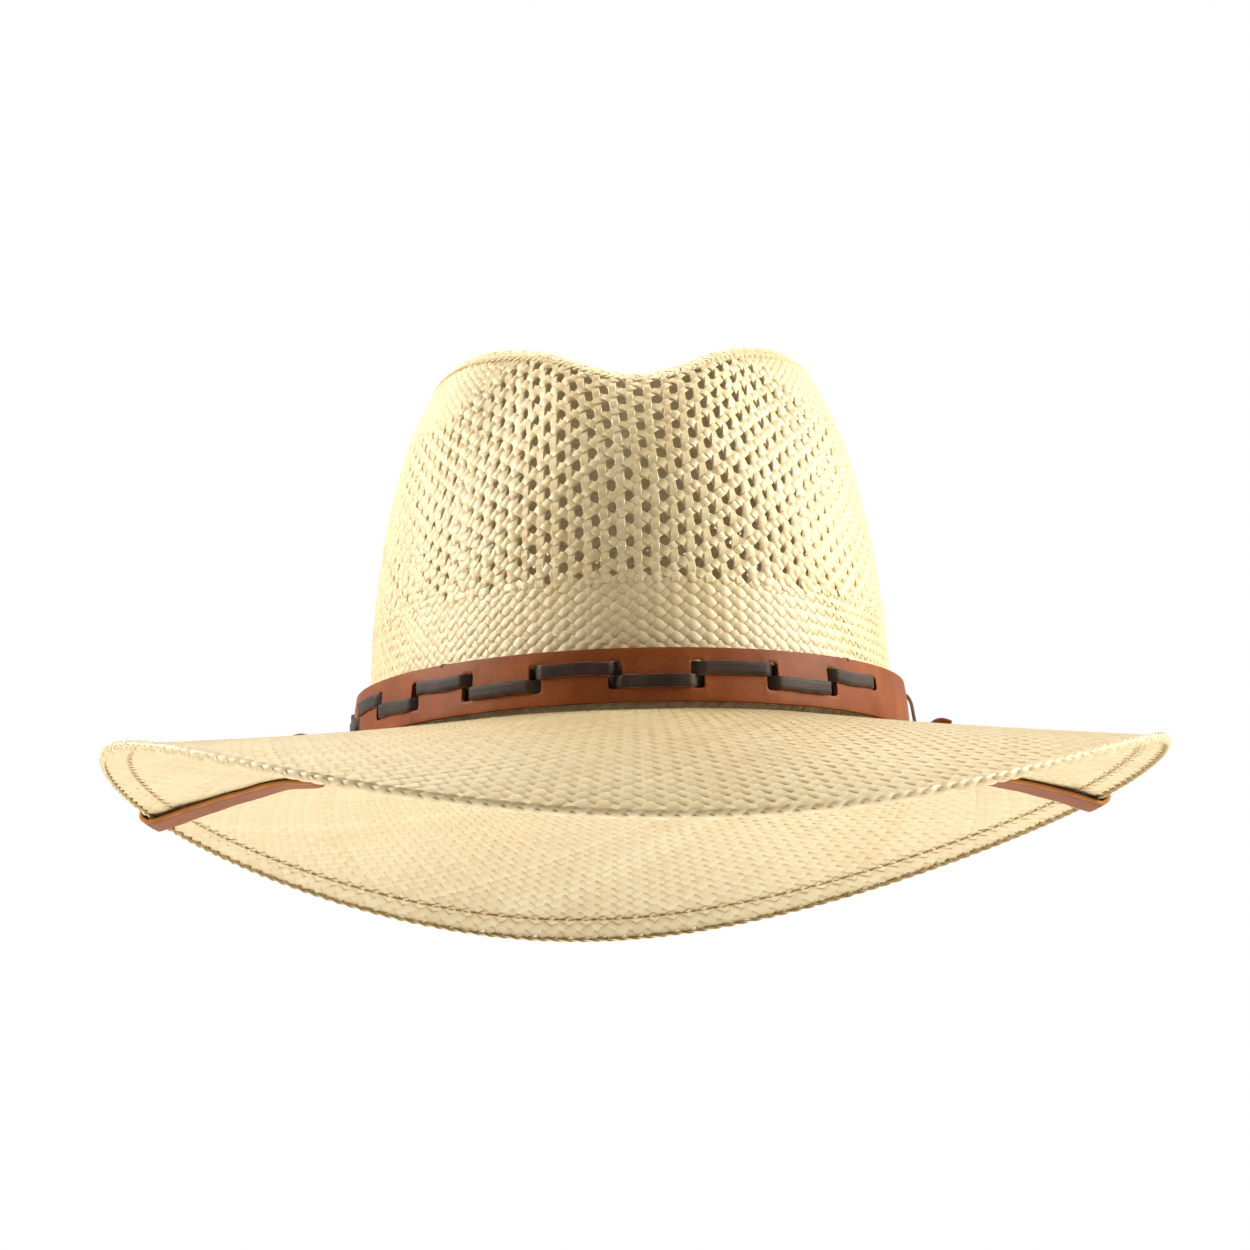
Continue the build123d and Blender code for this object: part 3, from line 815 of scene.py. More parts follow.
def make_lace(name, over_even, high, lead, trail, leather):
    """A lace that goes in and out of the band's slots."""
    mesh = Mesh()
    middle = BAND_TALL / 2 + high
    step = 0.45
    arc = np.arange(-lead, SLOT_PITCH * (SLOT_COUNT - 1) + trail, step)
    over = lace_share(arc, over_even)
    hug = 0.10 * np.sin(arc * 0.9) + 0.06 * np.sin(arc * 2.3 + high)
    shift = 0.16 * np.sin(arc * TURN / (2 * SLOT_PITCH) * 1.7 + high) + 0.1 * np.sin(arc * 0.31)
    outer = band_face(arc, middle + shift, 0.62)
    inner = foot_point(band_angle(arc), 0.35, BAND_LOW + middle)
    centre = inner * (1 - over)[:, None] + outer * over[:, None]
    tangent = line_tangent(centre)
    normal = unit(np.cross(UP, tangent))
    normal = np.where((np.sum(normal * outward(band_angle(arc)), -1) < 0)[:, None], -normal, normal)
    across = unit(np.cross(normal, tangent))
    across = np.where((across[:, 2] < 0)[:, None], -across, across)
    add_strand(mesh, centre, across, normal, 3.9 + hug, 1.0, 5 + high, LEATHER)
    return mesh.make(name, leather)


def smooth_path(points, count):
    """Points at even steps along a Catmull-Rom curve."""
    points = np.array(points, float)
    padded = np.concatenate([[2 * points[0] - points[1]], points, [2 * points[-1] - points[-2]]])
    u = np.linspace(0, len(points) - 1, 40 * len(points))
    k = np.minimum(u.astype(int), len(points) - 2)
    f = (u - k)[:, None]
    a, b, c, d = padded[k], padded[k + 1], padded[k + 2], padded[k + 3]
    curve = b + 0.5 * ((c - a) * f + (2 * a - 5 * b + 4 * c - d) * f**2 + (3 * b - a - 3 * c + d) * f**3)
    length = np.concatenate([[0], np.cumsum(np.linalg.norm(np.diff(curve[:, :3], axis=0), axis=1))])
    want = np.linspace(0, length[-1], count)
    return np.stack([np.interp(want, length, curve[:, i]) for i in range(curve.shape[1])], -1)


def place_local(points, origin, degrees):
    """Turns points about the vertical and moves them."""
    c, s = math.cos(math.radians(degrees)), math.sin(math.radians(degrees))
    return points @ np.array([[c, s, 0], [-s, c, 0], [0, 0, 1]]) + origin


def overhand(gap):
    """Line of an overhand knot, open by a gap at its ends."""
    t = np.linspace(gap, TURN - gap, 90)
    return np.stack([np.sin(t) + 2 * np.sin(2 * t), np.cos(t) - 2 * np.cos(2 * t), -np.sin(3 * t)], -1)


def knot_centre():
    """Place of the lace knot, at the height of the hat's origin."""
    return foot_point(math.radians(KNOT_ANGLE), KNOT_OUT, 0.0)


def make_lace_knot(leather):
    """The knot that joins the two laces."""
    mesh = Mesh()
    out = outward(math.radians(KNOT_ANGLE))
    centre = knot_centre() + [0, 0, BAND_LOW + BAND_TALL / 2] - out * 0.3
    curve = centre + overhand(0.3) @ np.array([sideways(out) * 1.15, UP, out * 0.85])
    tangent = line_tangent(curve)
    normal = unit(curve - centre + out * 1.5)
    across = unit(np.cross(normal, tangent))
    lay_line(mesh, curve, across, 2.9, 0.95, 3)
    return mesh.make("lace_overhand_knot", leather)


def make_tail(name, direction, out, along, path, leather):
    """Loose lace end hanging from the knot, on the line of its CAD strip."""
    mesh = Mesh()
    normal = outward(math.radians(KNOT_ANGLE))
    root = knot_centre() + normal * out + sideways(normal) * along
    share = np.linspace(0, 1, 60)
    line = smooth_path([(x, 0, z) for x, z in path], len(share))
    step = np.gradient(line, axis=0)
    twist = share**2 * 0.35
    flat = unit(np.stack([-step[:, 2], 0 * step[:, 0], step[:, 0]], -1))
    level = np.array([0.0, 1.0, 0.0])
    wide = level * np.cos(twist)[:, None] + flat * np.sin(twist)[:, None]
    face = flat * np.cos(twist)[:, None] - level * np.sin(twist)[:, None]
    width = 3.8 * (1 - 0.25 * share**6)
    line, wide, face = (place_local(v, start, direction) for v, start in ((line, root), (wide, 0), (face, 0)))
    add_strand(mesh, line, wide, face, width, 1.05, 9, LEATHER)
    return mesh.make(name, leather)


def make_tacks(thread):
    """Thread bars that hold the band's upper edge to the straw."""
    mesh = Mesh()
    for quarter in range(4):
        angle = math.radians(45 + 90 * quarter)
        out = outward(angle)
        side = sideways(out)
        for k in range(2):
            base = foot_point(angle) + side * (k - 0.5) * 0.5
            line = [(-0.6, 16.9), (0.0, 17.15), (0.9, 17.2), (2.2, 17.15), (2.9, 16.9), (3.1, 16.2)]
            curve = smooth_path([base + out * a + UP * z for a, z in line], 14)
            lay_line(mesh, curve, np.tile(side, (14, 1)), 0.35, 0.3, k, RIBBON)
    return mesh.make("band_tack_threads", thread)


# ---------------------------------------------------------------- chin strap
STRAP_WIDE = 10.0
STRAP_START = 20.2  # degrees round the brim where the strap leaves its slit
STRAP_RUN = [(0.0, 33.0, 2.3), (0.45, 45.0, 2.3), (0.8, 58.0, 2.35), (1.0, 70.0, 2.9)]  # share, width, depth
REAR_NEAR, REAR_FAR = 8.4, 71.0  # the strap's distance from the foot, behind the crown and at the edge


def under_run(side):
    """Stations of the strap from its slit to the brim's edge: centre, across and thickness."""
    leave = np.array([side * math.cos(math.radians(STRAP_LEAVE)), math.sin(math.radians(STRAP_LEAVE)), 0])
    across = sideways(leave)
    start = np.array([side * SLIT_X, SLIT_Y, 0])
    run = [(start + UP * z, across, -leave) for z in (2.4, -2.2)]
    run.append((start + leave * 0.9 - UP * 4.6, across, unit(UP - leave)))
    for share, w, deep in STRAP_RUN:
        degrees = STRAP_START + (STRAP_EDGE[side] - STRAP_START) * share
        top, normal, out = brim_frame(side, degrees, w)
        run.append((top - normal * deep, np.cross(normal, out), normal))
    return run


def edge_wrap(side):
    """Stations round the brim's edge, from its underside to its top."""
    top, normal, out = brim_frame(side, STRAP_EDGE[side], BRIM_WIDTH - 2.0)
    centre = top - normal * 1.2
    radius = 2.8
    wrap = []
    for degrees in range(-90, 91, 30):
        c, s = math.cos(math.radians(degrees)), math.sin(math.radians(degrees))
        away = out * c + normal * s
        wrap.append((centre + away * radius + out * 0.4 * c, np.cross(normal, out), -away))
    return wrap


def rear_run(side):
    """Stations from the edge to the back, where the strap stands on its edge against the band."""
    first = STRAP_EDGE[side] + 2.0
    lift = 1.5
    run = []
    for degrees in np.linspace(first, 90, 25):
        inward = max(0.0, (62.0 - degrees) / (62.0 - first))
        rise = min(1.0, max(0.0, (degrees - first - 2.5) / 30))
        lean = rise * rise * (3 - 2 * rise) * math.pi / 2
        top, normal, out = brim_frame(side, degrees, REAR_NEAR + (REAR_FAR - REAR_NEAR) * inward**1.6)
        thick = normal * math.cos(lean) - out * math.sin(lean)
        across = out * math.cos(lean) + normal * math.sin(lean)
        run.append((top + normal * (lift + math.sin(lean) * (STRAP_WIDE - lift) / 2), across, thick))
    return run


def make_chin_strap(leather):
    """One long strap from slit to slit: under the brim, over its edge and round the back."""
    right = under_run(1) + edge_wrap(1) + rear_run(1)
    left = under_run(-1) + edge_wrap(-1) + rear_run(-1)[:-1]
    rows, previous = [], None
    for centre, across, thick in right + left[::-1]:
        across, thick = unit(across), unit(thick)
        if previous is not None and across @ previous < 0:
            across = -across
        previous = across
        rows.append(np.concatenate([centre, across, thick]))
    line = smooth_path(rows, 700)
    centre, across = line[:, :3], unit(line[:, 3:6])
    tangent = line_tangent(centre)
    across = unit(across - tangent * np.sum(across * tangent, -1, keepdims=True))
    normal = np.cross(across, tangent)
    along = np.linspace(0, 1, len(line))
    ripple = 0.16 * np.sin(along * 190) + 0.12 * np.sin(along * 83 + 1)
    width = STRAP_WIDE + 0.15 * np.sin(along * 260)
    mesh = Mesh()
    add_strand(mesh, centre + across * ripple[:, None], across, normal, width, 1.65, 2, LEATHER)
    return mesh.make("chin_strap_leather", leather)


def make_strap_knot(name, side, leather):
    """The strap's end tied above its slit, and its cut end standing out of the knot."""
    mesh = Mesh()
    lean = 0.15
    c, s = math.cos(lean), math.sin(lean)
    curve = overhand(0.35) * (1.95, 1.0, 1.15) @ np.array([[1, 0, 0], [0, c, s], [0, -s, c]])
    curve = place_local(curve, np.array([side * SLIT_X, SLIT_Y, 4.6]), side * STRAP_LEAVE + 90)
    across = unit(np.cross(unit(curve - curve.mean(0)), line_tangent(curve)))
    lay_line(mesh, curve, across, 3.6, 1.5, 1)
    low = 0.0 if side > 0 else -1.6
    flag = [(1.2, 0.4, 5.2), (1.9, 0.2, 7.6), (3.0, 0, 9.9), (5.4, 0, 11.3), (8.6, -0.2, 10.4)]
    curve = smooth_path([(SLIT_X * side + side * a, SLIT_Y + b, c + low) for a, b, c in flag], 24)
    tangent = line_tangent(curve)
    across = np.cross(unit(np.cross(tangent, [0.0, -0.35, 1.0])), tangent)
    lay_line(mesh, curve, across, 4.2, 1.5, 4)
    return mesh.make(name, leather)


# ---------------------------------------------------------------- inside of the crown
SWEAT_OUT = -3.2
BOW_OUT, TAG_OUT = -5.8, -6.2  # the bow and the tag lie on the sweatband's inner face


def make_sweatband(leather):
    """Leather band inside the crown: a sheet given thickness; its rolled lower edge is not modelled."""
    mesh = Mesh()
    around = np.linspace(0, TURN, 241)[:-1]
    tall = 28.0
    heights = np.array([-1.6, -1.0, 0.5, 3.0, 4.0, 5.0, 9, 14, 19, 23, 26, 27.4, tall])
    out = SWEAT_OUT + 1.0 - 1.7 * np.clip(heights / tall, 0, 1)
    out = out - 0.25 * np.exp(-(((heights - 4.0) / 0.8) ** 2))
    angle, high = np.meshgrid(around, heights, indexing="ij")
    loose = 0.35 * np.sin(angle * 5 + 1) * np.clip(high / tall, 0, 1) ** 2
    points = foot_point(angle, out[None] - 0.2 + loose, high)
    index = np.arange(points.shape[0] * len(heights)).reshape(points.shape[0], -1)
    after = np.roll(index, -1, 0)
    quads = np.stack([index[:, :-1], after[:, :-1], after[:, 1:], index[:, 1:]], -1).reshape(-1, 4)
    mesh.add(points, quads)
    band = mesh.make("sweatband_leather", leather)
    thicken(band, 0.9, edge=0.3)
    return band


def make_reed(cover):
    """Covered cord at the sweatband's lower edge, wound with its cover."""
    mesh = Mesh()
    angle = np.linspace(0, TURN, 900, endpoint=False)
    for k in range(4):
        phase = angle * 110 + k * TURN / 4
        centre = foot_point(angle, -2.7 + 0.62 * np.cos(phase), -2.6 + 0.62 * np.sin(phase))
        out = outward(angle) * np.cos(phase)[:, None] + UP * np.sin(phase)[:, None]
        across = unit(np.cross(out, ring_tangent(centre)))
        add_strand(mesh, centre, across, out, 1.15, 0.9, k, closed=True)
    return mesh.make("reed_cord", cover)


def make_sweat_stitches(thread):
    """Running stitches that hold the sweatband to the straw."""
    mesh = Mesh()
    count, samples = 190, 7
    for k in range(count):
        angle = (k + np.linspace(0.08, 0.8, samples)) / count * TURN
        bow = np.sin(np.linspace(0, math.pi, samples)) ** 0.5
        centre = foot_point(angle, -3.35 - 0.95 * bow, 4.0)
        lay_line(mesh, centre, np.tile(UP, (samples, 1)), 0.6, 0.6, k * 0.3, RIBBON)
    return mesh.make("sweatband_stitches", thread)


def make_bow(ribbon):
    """Small ribbon bow where the sweatband's ends meet."""
    mesh = Mesh()
    y = FOOT_Y + BOW_OUT
    loop = [
        (0, 0.4, 9), (4.5, 0.9, 10.2), (9.5, 0.8, 11.0), (11.4, 0, 10.9), (9.4, -0.9, 9.6), (4.5, -0.9, 9.2),
        (0, -0.4, 9),
    ]
    tail = [(0, 0, 8.6), (2.6, 0.2, 6.2), (4.9, -0.1, 3.4), (7.6, 0.1, -0.4)]
    for side in (-1, 1):
        for path, wide in ((loop, 5.4), (tail, 4.0)):
            curve = smooth_path([(side * a, y + b, c) for a, b, c in path], 40)
            tangent = line_tangent(curve)
            across = np.cross(unit(np.cross(tangent, UP)), tangent)
            lay_line(mesh, curve, across, wide, 0.45, side)
    t = np.linspace(-0.2, TURN - 0.2, 30)
    curve = np.stack([1.9 * np.cos(t), y + 1.45 * np.sin(t), 9.0 + 0.15 * np.sin(2 * t)], -1)
    lay_line(mesh, curve, np.tile(UP, (30, 1)), 4.4, 0.5, 8)
    return mesh.make("sweatband_ribbon_bow", ribbon)


def make_tag(cloth):
    """Blank woven tape tab on the inside of the sweatband, one sheet given thickness; its fold and sewn ends
    are not modelled.
    """
    mesh = Mesh()
    angle = math.radians(118)
    out = outward(angle)
    centre = foot_point(angle, TAG_OUT, 17)
    half_long, half_tall = 9.5, 6
    xs, zs = np.linspace(-half_long, half_long, 40), np.linspace(-half_tall, half_tall, 24)
    x, z = np.meshgrid(xs, zs, indexing="ij")
    sag = 0.35 * (x / half_long) ** 2 + 0.12 * np.sin(x * 1.1) * np.cos(z * 0.5)
    points = centre + np.stack([x, z, sag], -1) @ np.array([sideways(out), UP, out])
    mesh.add(points, grid_quads(*x.shape)[:, ::-1], np.stack([x, z, 0 * x], -1))
    tab = mesh.make("size_tab", cloth)
    thicken(tab, 0.5, offset=0.0)
    return tab


# ---------------------------------------------------------------- materials
class Nodes:
    """Short way to write the node tree of a material, or of a world."""

    def __init__(self, name, owner=None):
        self.owner = owner or bpy.data.materials.new(name)
        self.owner.use_nodes = True
        self.tree = self.owner.node_tree
        self.tree.nodes.clear()

    def node(self, kind, inputs=None, **settings):
        """A new node; inputs are values, or outputs of other nodes."""
        made = self.tree.nodes.new("ShaderNode" + kind)
        for key, value in settings.items():
            setattr(made, key, value)
        for key, value in (inputs or {}).items():
            if isinstance(value, bpy.types.NodeSocket):
                self.tree.links.new(value, made.inputs[key])
            else:
                made.inputs[key].default_value = value
        return made

    def attribute(self, name, output="Vector"):
        return self.node("Attribute", attribute_name=name).outputs[output]

    def place(self):
        return self.node("TexCoord").outputs["Object"]

    def scaled(self, vector, scale):
        return self.node("VectorMath", {0: vector, 1: scale}, operation="MULTIPLY").outputs[0]

    def noise(self, vector, scale, detail=3.0):
        inputs = {"Vector": vector, "Scale": scale, "Detail": detail, "Roughness": 0.55}
        return self.node("TexNoise", inputs).outputs["Fac"]

    def math(self, operation, a, b=0.5):
        return self.node("Math", {0: a, 1: b}, operation=operation).outputs[0]

    def ranged(self, value, low, high, start=0.0, stop=1.0):
        """Turns start to stop into low to high."""
        return self.node("MapRange", {0: value, 1: start, 2: stop, 3: low, 4: high}).outputs[0]

    def ramp(self, factor, stops):
        made = self.node("ValToRGB", {"Fac": factor})
        while len(made.color_ramp.elements) < len(stops):
            made.color_ramp.elements.new(0.5)
        for element, (place, colour) in zip(made.color_ramp.elements, stops):
            element.position = place
            element.color = (*colour, 1)
        return made.outputs["Color"]

    def mix(self, factor, a, b, blend="MIX"):
        a, b = (v if isinstance(v, bpy.types.NodeSocket) else (*v, 1) for v in (a, b))
        return self.node("Mix", {0: factor, 6: a, 7: b}, data_type="RGBA", blend_type=blend).outputs[2]

    def bump(self, height, strength, distance):
        inputs = {"Height": height, "Strength": strength, "Distance": distance}
        return self.node("Bump", inputs).outputs["Normal"]

    def surface(self, colour, roughness, normal, extra, through=0.0, glow=None):
        """Ends a material; a share of the light may pass through it in the glow's colour."""
        inputs = {"Base Color": colour, "Roughness": roughness, "Normal": normal, **extra}
        result = self.node("BsdfPrincipled", inputs).outputs[0]
        if through:
            light = self.node("BsdfTranslucent", {"Color": glow, "Normal": normal}).outputs[0]
            result = self.node("MixShader", {0: through, 1: result, 2: light}).outputs[0]
        self.node("OutputMaterial", {"Surface": result})
        return self.owner


def straw_material(name, through, shade=1.0):
    """Palm straw: fine fibres along each strand, uneven tone from strand to strand and along it; the last
    number darkens a whole copy, as painted shade.
    """
    n = Nodes(name)
    fibre = n.attribute("fibre")
    tone = n.attribute("tone", "Fac")
    fine = n.noise(n.scaled(fibre, (0.10, 5.5, 1.0)), 1.0, 3.0)
    broad = n.noise(n.scaled(fibre, (0.035, 0.5, 0.7)), 1.0, 2.0)
    patch = n.noise(n.scaled(n.place(), (24.0, 24.0, 24.0)), 1.0, 3.0)
    uneven = n.math("ADD", n.math("MULTIPLY", tone, 0.55), n.math("MULTIPLY", broad, 0.45))
    tones = [(0.18, (0.69, 0.50, 0.235)), (0.42, (0.82, 0.65, 0.345))]
    tones += [(0.62, (0.87, 0.72, 0.42)), (0.85, (0.91, 0.80, 0.53))]
    colour = n.ramp(uneven, tones)
    colour = n.mix(n.ramp(fine, [(0.40, (0.30,) * 3), (0.62, (0, 0, 0))]), colour, (0.62, 0.44, 0.19))
    colour = n.mix(n.ramp(patch, [(0.45, (0, 0, 0)), (0.75, (0.30,) * 3)]), colour, (0.90, 0.76, 0.46))
    # painted shade: the whole colour is multiplied down for the darker copies of the same straw
    colour = n.mix(1.0, colour, (shade,) * 3, "MULTIPLY")
    normal = n.bump(fine, 0.5, 0.00012)
    warm = n.mix(1.0, colour, (0.92, 0.97, 0.90), "MULTIPLY")
    rough = n.ranged(fine, 0.36, 0.55)
    return n.surface(colour, rough, normal, {"Specular IOR Level": 0.75}, through, warm)


def leather_material(name, tones, grain, rough, wear, edge=None, edge_start=0.4, relief=0.35):
    """Dyed leather: pebbled grain, cloudy dye, rubbed spots, and a paler cut edge where fibres run."""
    dark, mid, light = tones
    n = Nodes(name)
    place = n.place()
    cells = n.node("TexVoronoi", {"Vector": place, "Scale": grain}, feature="DISTANCE_TO_EDGE").outputs[0]
    pores = n.noise(place, grain * 1.6, 2.0)
    cloud = n.noise(place, 65.0, 4.0)
    smear = n.noise(n.scaled(place, (1.0, 1.0, 3.0)), 18.0, 3.0)
    colour = n.ramp(cloud, [(0.28, dark), (0.52, mid), (0.78, light)])
    colour = n.mix(n.ramp(smear, [(0.55, (0, 0, 0)), (0.8, (wear,) * 3)]), colour, light)
    colour = n.mix(n.ramp(cells, [(0.0, (0.45,) * 3), (0.18, (0, 0, 0))]), colour, dark)
    if edge is not None:
        side = n.node("SeparateXYZ", {0: n.attribute("fibre")}).outputs["Y"]
        cut = n.ranged(n.math("ABSOLUTE", side, 0), 0.0, 1.0, edge_start, edge_start + 0.02)
        colour = n.mix(cut, colour, edge)
    height = n.math("ADD", n.math("MINIMUM", cells, 0.25), n.math("MULTIPLY", pores, 0.12))
    normal = n.bump(height, relief, 0.00018)
    roughness = n.ranged(pores, rough - 0.08, rough + 0.12)
    return n.surface(colour, roughness, normal, {"Specular IOR Level": 0.13})


def cloth_material(name, dark, light, threads, rough=0.75, sheen=0.3):
    """Woven or twisted thread, by the fibre numbers of the mesh."""
    n = Nodes(name)
    lines = n.scaled(n.attribute("fibre"), (threads, threads, 0.0))
    fuzz = n.noise(n.place(), 2500.0, 2.0)
    waves = {"Vector": lines, "Scale": 1.0, "Distortion": 0.6}
    twist = n.node("TexWave", waves, wave_type="BANDS", bands_direction="DIAGONAL").outputs["Fac"]
    colour = n.mix(n.math("MULTIPLY", twist, 0.7), dark, light)
    colour = n.mix(n.math("MULTIPLY", fuzz, 0.3), colour, light)
    normal = n.bump(n.math("ADD", twist, n.math("MULTIPLY", fuzz, 0.4)), 0.5, 0.0001)
    return n.surface(colour, rough, normal, {"Sheen Weight": sheen})


# ---------------------------------------------------------------- put together
def put(piece, node, body="hat"):
    """Rides a piece on a body, in place of a CAD node."""
    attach(piece, body)
    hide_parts(node)


def build_hat():
    """Makes every piece; one random generator runs through all of them."""
    rng = np.random.default_rng(11)
    straw = straw_material("straw_crown", 0.16)
    # painted shade: the brim's straw is the crown's straw darkened to 0.9, against the stronger light the
    # brim catches
    shaded_brim_straw = straw_material("straw_brim_painted_shade", 0.30, 0.9)
    # painted shade: the plaited edge's straw is darkened to 0.74 for the shade its front lies in
    shaded_edge_straw = straw_material("straw_edge_painted_shade", 0.06, 0.74)
    cognac = (0.155, 0.036, 0.006), (0.228, 0.057, 0.010), (0.305, 0.088, 0.018)
    black_brown = (0.022, 0.013, 0.009), (0.045, 0.028, 0.02), (0.09, 0.062, 0.046)
    saddle = (0.13, 0.036, 0.008), (0.19, 0.055, 0.014), (0.26, 0.085, 0.026)
    tan = (0.36, 0.22, 0.12), (0.45, 0.30, 0.17), (0.55, 0.40, 0.25)
    band_leather = leather_material("cognac_leather", cognac, 900.0, 0.50, 0.4)
    lace_leather = leather_material(
        "lace_leather", black_brown, 1900.0, 0.42, 0.5, (0.20, 0.13, 0.085), edge_start=1.87, relief=0.8
    )
    strap_leather = leather_material(
        "strap_leather", saddle, 1300.0, 0.48, 0.5, (0.42, 0.17, 0.045), edge_start=4.75
    )
    sweat_leather = leather_material("sweat_leather", tan, 1500.0, 0.5, 0.4)
    gold = cloth_material("golden_thread", (0.38, 0.22, 0.05), (0.66, 0.45, 0.16), 3.0, 0.6)
    brown = cloth_material("brown_thread", (0.20, 0.08, 0.025), (0.36, 0.17, 0.07), 3.0, 0.6)
    cream = cloth_material("reed_cover", (0.45, 0.36, 0.24), (0.72, 0.62, 0.46), 2.5)
    satin = cloth_material("satin_ribbon", (0.025, 0.014, 0.009), (0.09, 0.05, 0.03), 5.0, 0.35, 0.5)
    white = cloth_material("white_tape", (0.62, 0.59, 0.53), (0.85, 0.83, 0.77), 3.2, 0.8)

    straw_pieces = make_crown_plain(straw, rng) + make_crown_vents(straw, rng)
    straw_pieces += make_crown_top(straw, rng) + make_brim(shaded_brim_straw, shaded_edge_straw, rng)
    for piece in straw_pieces:
        put(piece, "straw_body")
    put(make_hem_thread(gold), "hem_stitching")
    put(make_hatband(band_leather), "leather_hatband")
    upper = make_lace("lace_upper", True, LACE_SPREAD, 4.5, 4.5, lace_leather)
    lower = make_lace("lace_lower", False, -LACE_SPREAD, -4.5, 2.4, lace_leather)
    put(upper, "hatband_lace_upper")
    put(lower, "hatband_lace_lower")
    put(make_tacks(brown), "hatband_tacks")
    put(make_lace_knot(lace_leather), "lace_knot")
    front_path = [
        (0, 13.5), (0.2, 16.5), (1.6, 18.9), (3.4, 16.6), (4.4, 11.0), (5.6, 5.2), (10.0, 1.6), (22.0, 0.2),
    ]
    rear_path = [(0, 10.5), (2.6, 6.0), (8.0, 2.2), (18.0, 0.4), (27.0, -0.6)]
    front = make_tail("lace_end_front", -8.0, 2.4, -3.4, front_path, lace_leather)
    rear = make_tail("lace_end_rear", 76.0, 1.9, 6.0, rear_path, lace_leather)
    put(front, "lace_tail_front", "front_lace_end")
    put(rear, "lace_tail_rear", "rear_lace_end")
    put(make_chin_strap(strap_leather), "chin_strap")
    for side, word in ((1, "right"), (-1, "left")):
        knot = make_strap_knot(f"strap_knot_{word}", side, strap_leather)
        put(knot, f"chin_strap_knot_{word}")
    put(make_sweatband(sweat_leather), "sweatband")
    put(make_reed(cream), "sweatband_reed")
    put(make_sweat_stitches(gold), "sweatband_stitching")
    put(make_bow(satin), "sweatband_bow")
    put(make_tag(white), "size_tag")


# ---------------------------------------------------------------- stage, light, camera
def make_floor():
    """Pale floor under the brim; it is clear from below, where the photograph's camera stands."""
    size, z = 12.0, cad_box[0].z - 0.002
    corners = [(-size, -size, z), (size, -size, z), (size, size, z), (-size, size, z)]
    mesh = bpy.data.meshes.new("floor")
    mesh.from_pydata(corners, [], [(0, 1, 2, 3)])
    n = Nodes("floor_paint")
    noise = n.noise(n.place(), 6.0, 2.0)
    colour = n.ramp(noise, [(0.3, (0.84, 0.84, 0.83)), (0.7, (0.88, 0.88, 0.87))])
    matt = n.node("BsdfDiffuse", {"Color": n.mix(0.5, colour, (0.1, 0.1, 0.1))}).outputs[0]
    lift = n.node("Emission", {"Color": colour, "Strength": 0.84}).outputs[0]
    paint = n.node("AddShader", {0: matt, 1: lift}).outputs[0]
    clear = n.node("BsdfTransparent").outputs[0]
    back = n.node("NewGeometry").outputs["Backfacing"]
    mixed = n.node("MixShader", {0: back, 1: paint, 2: clear}).outputs[0]
    n.node("OutputMaterial", {"Surface": mixed})
    mesh.materials.append(n.owner)
    floor = link("floor", mesh)
    floor.visible_diffuse = floor.visible_glossy = floor.visible_transmission = floor.visible_shadow = False


def make_scrim():
    """Part-clear card across the head opening: like the head, it keeps most light out of the crown."""
    angle = np.linspace(0, TURN, 96, endpoint=False)
    rim = foot_point(angle, -4.5, -3.2) * MM
    mesh = bpy.data.meshes.new("head_scrim")
    mesh.from_pydata([tuple(p) for p in rim], [], [tuple(range(len(rim)))])
    n = Nodes("scrim_cloth")
    thin = n.node("BsdfTransparent", {"Color": (0.18, 0.18, 0.18, 1)}).outputs[0]
    n.node("OutputMaterial", {"Surface": thin})
    mesh.materials.append(n.owner)
    scrim = link("head_scrim", mesh)
    scrim.visible_camera = False


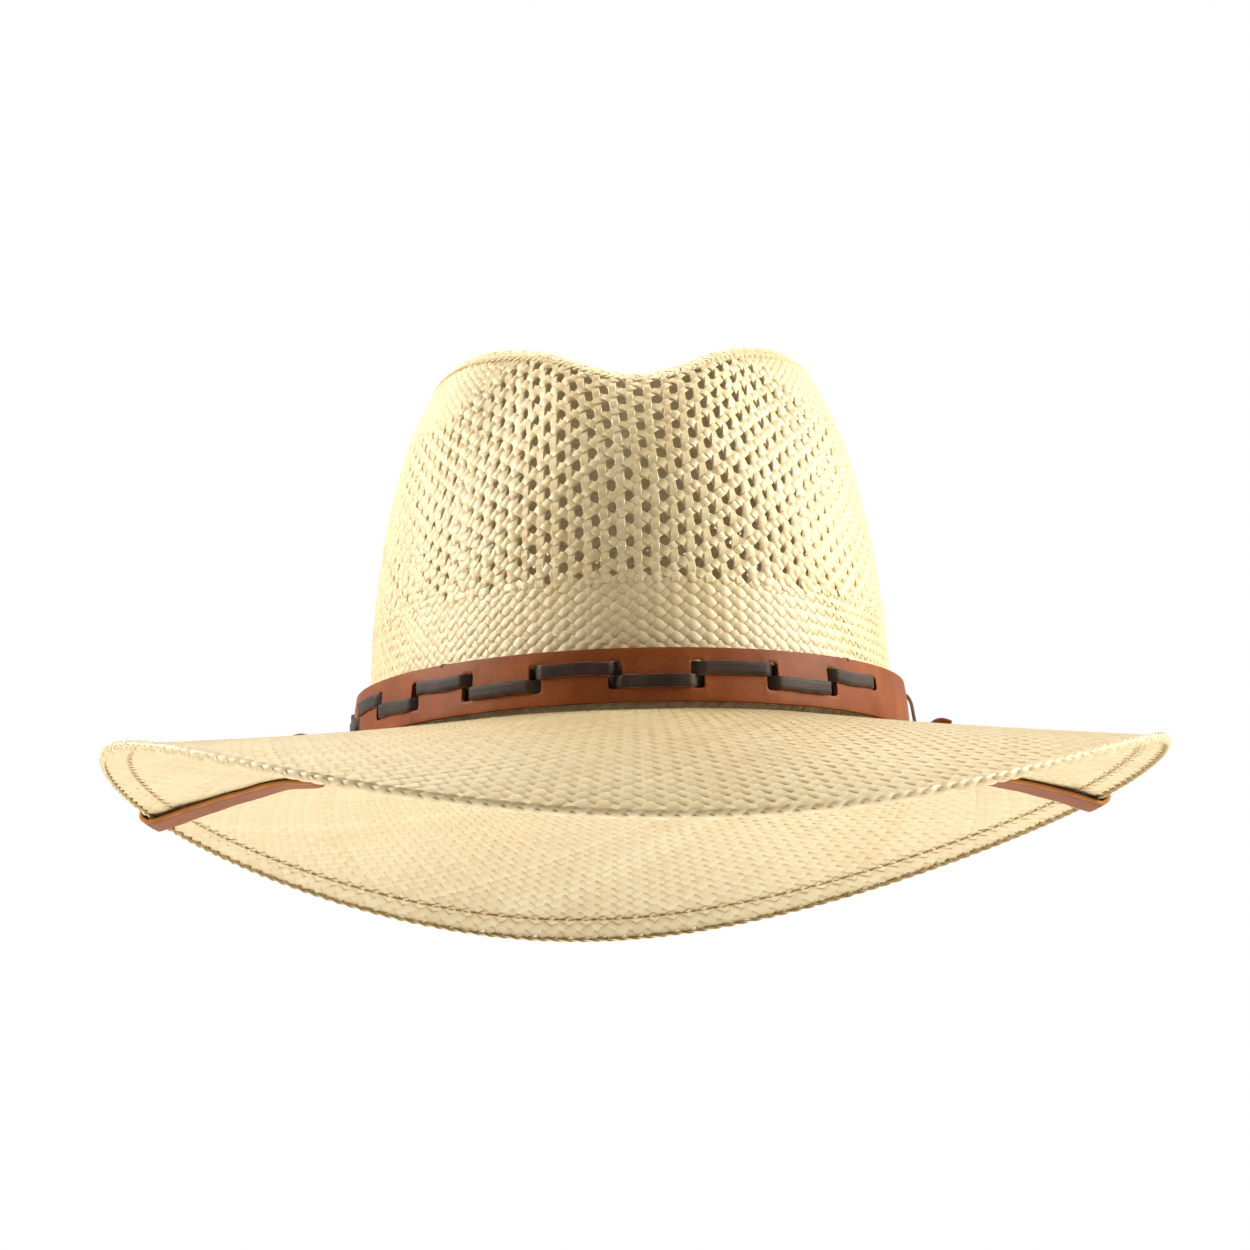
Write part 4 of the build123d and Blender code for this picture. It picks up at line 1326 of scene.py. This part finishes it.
def make_world():
    """White studio: bright round the sides and behind, dimmer from the camera's side."""
    world = bpy.data.worlds.new("studio")
    bpy.context.scene.world = world
    n = Nodes("studio", world)
    split = n.node("SeparateXYZ", {0: n.node("TexCoord").outputs["Generated"]})
    depth = n.ranged(split.outputs["Y"], 0.16, 0.95, -1.0, 0.3)
    height = n.ranged(split.outputs["Z"], 0.0, 3.2, -0.35, -0.95)
    lamp = n.node("Background", {"Strength": n.math("ADD", depth, height)}).outputs[0]
    white = n.node("Background", {"Color": (1, 1, 1, 1), "Strength": 1.0}).outputs[0]
    seen = n.node("LightPath").outputs["Is Camera Ray"]
    mixed = n.node("MixShader", {0: seen, 1: lamp, 2: white}).outputs[0]
    n.node("OutputWorld", {"Surface": mixed})


def make_lamp(name, place, size, power, colour):
    """Round lamp that shines on the middle of the hat."""
    data = bpy.data.lights.new(name, "AREA")
    data.shape, data.size, data.energy, data.color = "DISK", size, power, colour
    lamp = link(name, data)
    lamp.location = place
    target = Vector((0, 0, 0.04))
    lamp.rotation_euler = (target - Vector(place)).to_track_quat("-Z", "Y").to_euler()


def make_camera():
    """Long lens, a little below the brim and to the hat's right."""
    azimuth, elevation, roll = (math.radians(v) for v in (3.718, 6.909, 1.435))
    right = Vector((math.cos(azimuth), -math.sin(azimuth), 0))
    level = Vector((math.sin(azimuth), math.cos(azimuth), 0))
    ahead = level * math.cos(elevation) + Vector((0, 0, math.sin(elevation)))
    up = right.cross(ahead)
    across = right * math.cos(roll) - up * math.sin(roll)
    upright = right * math.sin(roll) + up * math.cos(roll)
    data = bpy.data.cameras.new("camera")
    data.sensor_width = 36.0
    data.lens = 137.578
    data.shift_x, data.shift_y = -0.005024, 0.098816
    data.clip_start, data.clip_end = 0.05, 50
    camera = link("camera", data)
    turn = Matrix((across, upright, -ahead)).transposed().to_4x4()
    distance = 1.5
    camera.matrix_world = Matrix.Translation(ahead * -distance) @ turn
    bpy.context.scene.camera = camera


build_hat()
make_floor()
make_scrim()
make_world()
make_lamp("key_left", (-1.5, 0.15, 0.75), 0.9, 37, (1, 0.975, 0.94))
make_lamp("key_right", (1.5, -0.15, 0.7), 0.9, 45, (1, 0.975, 0.94))
make_lamp("top", (0.0, 0.9, 1.5), 1.0, 12, (1, 0.98, 0.95))
make_lamp("front_low", (0.1, -1.9, 0.3), 0.8, 3, (1, 0.97, 0.92))
make_camera()
bpy.context.scene.view_settings.view_transform = "Standard"
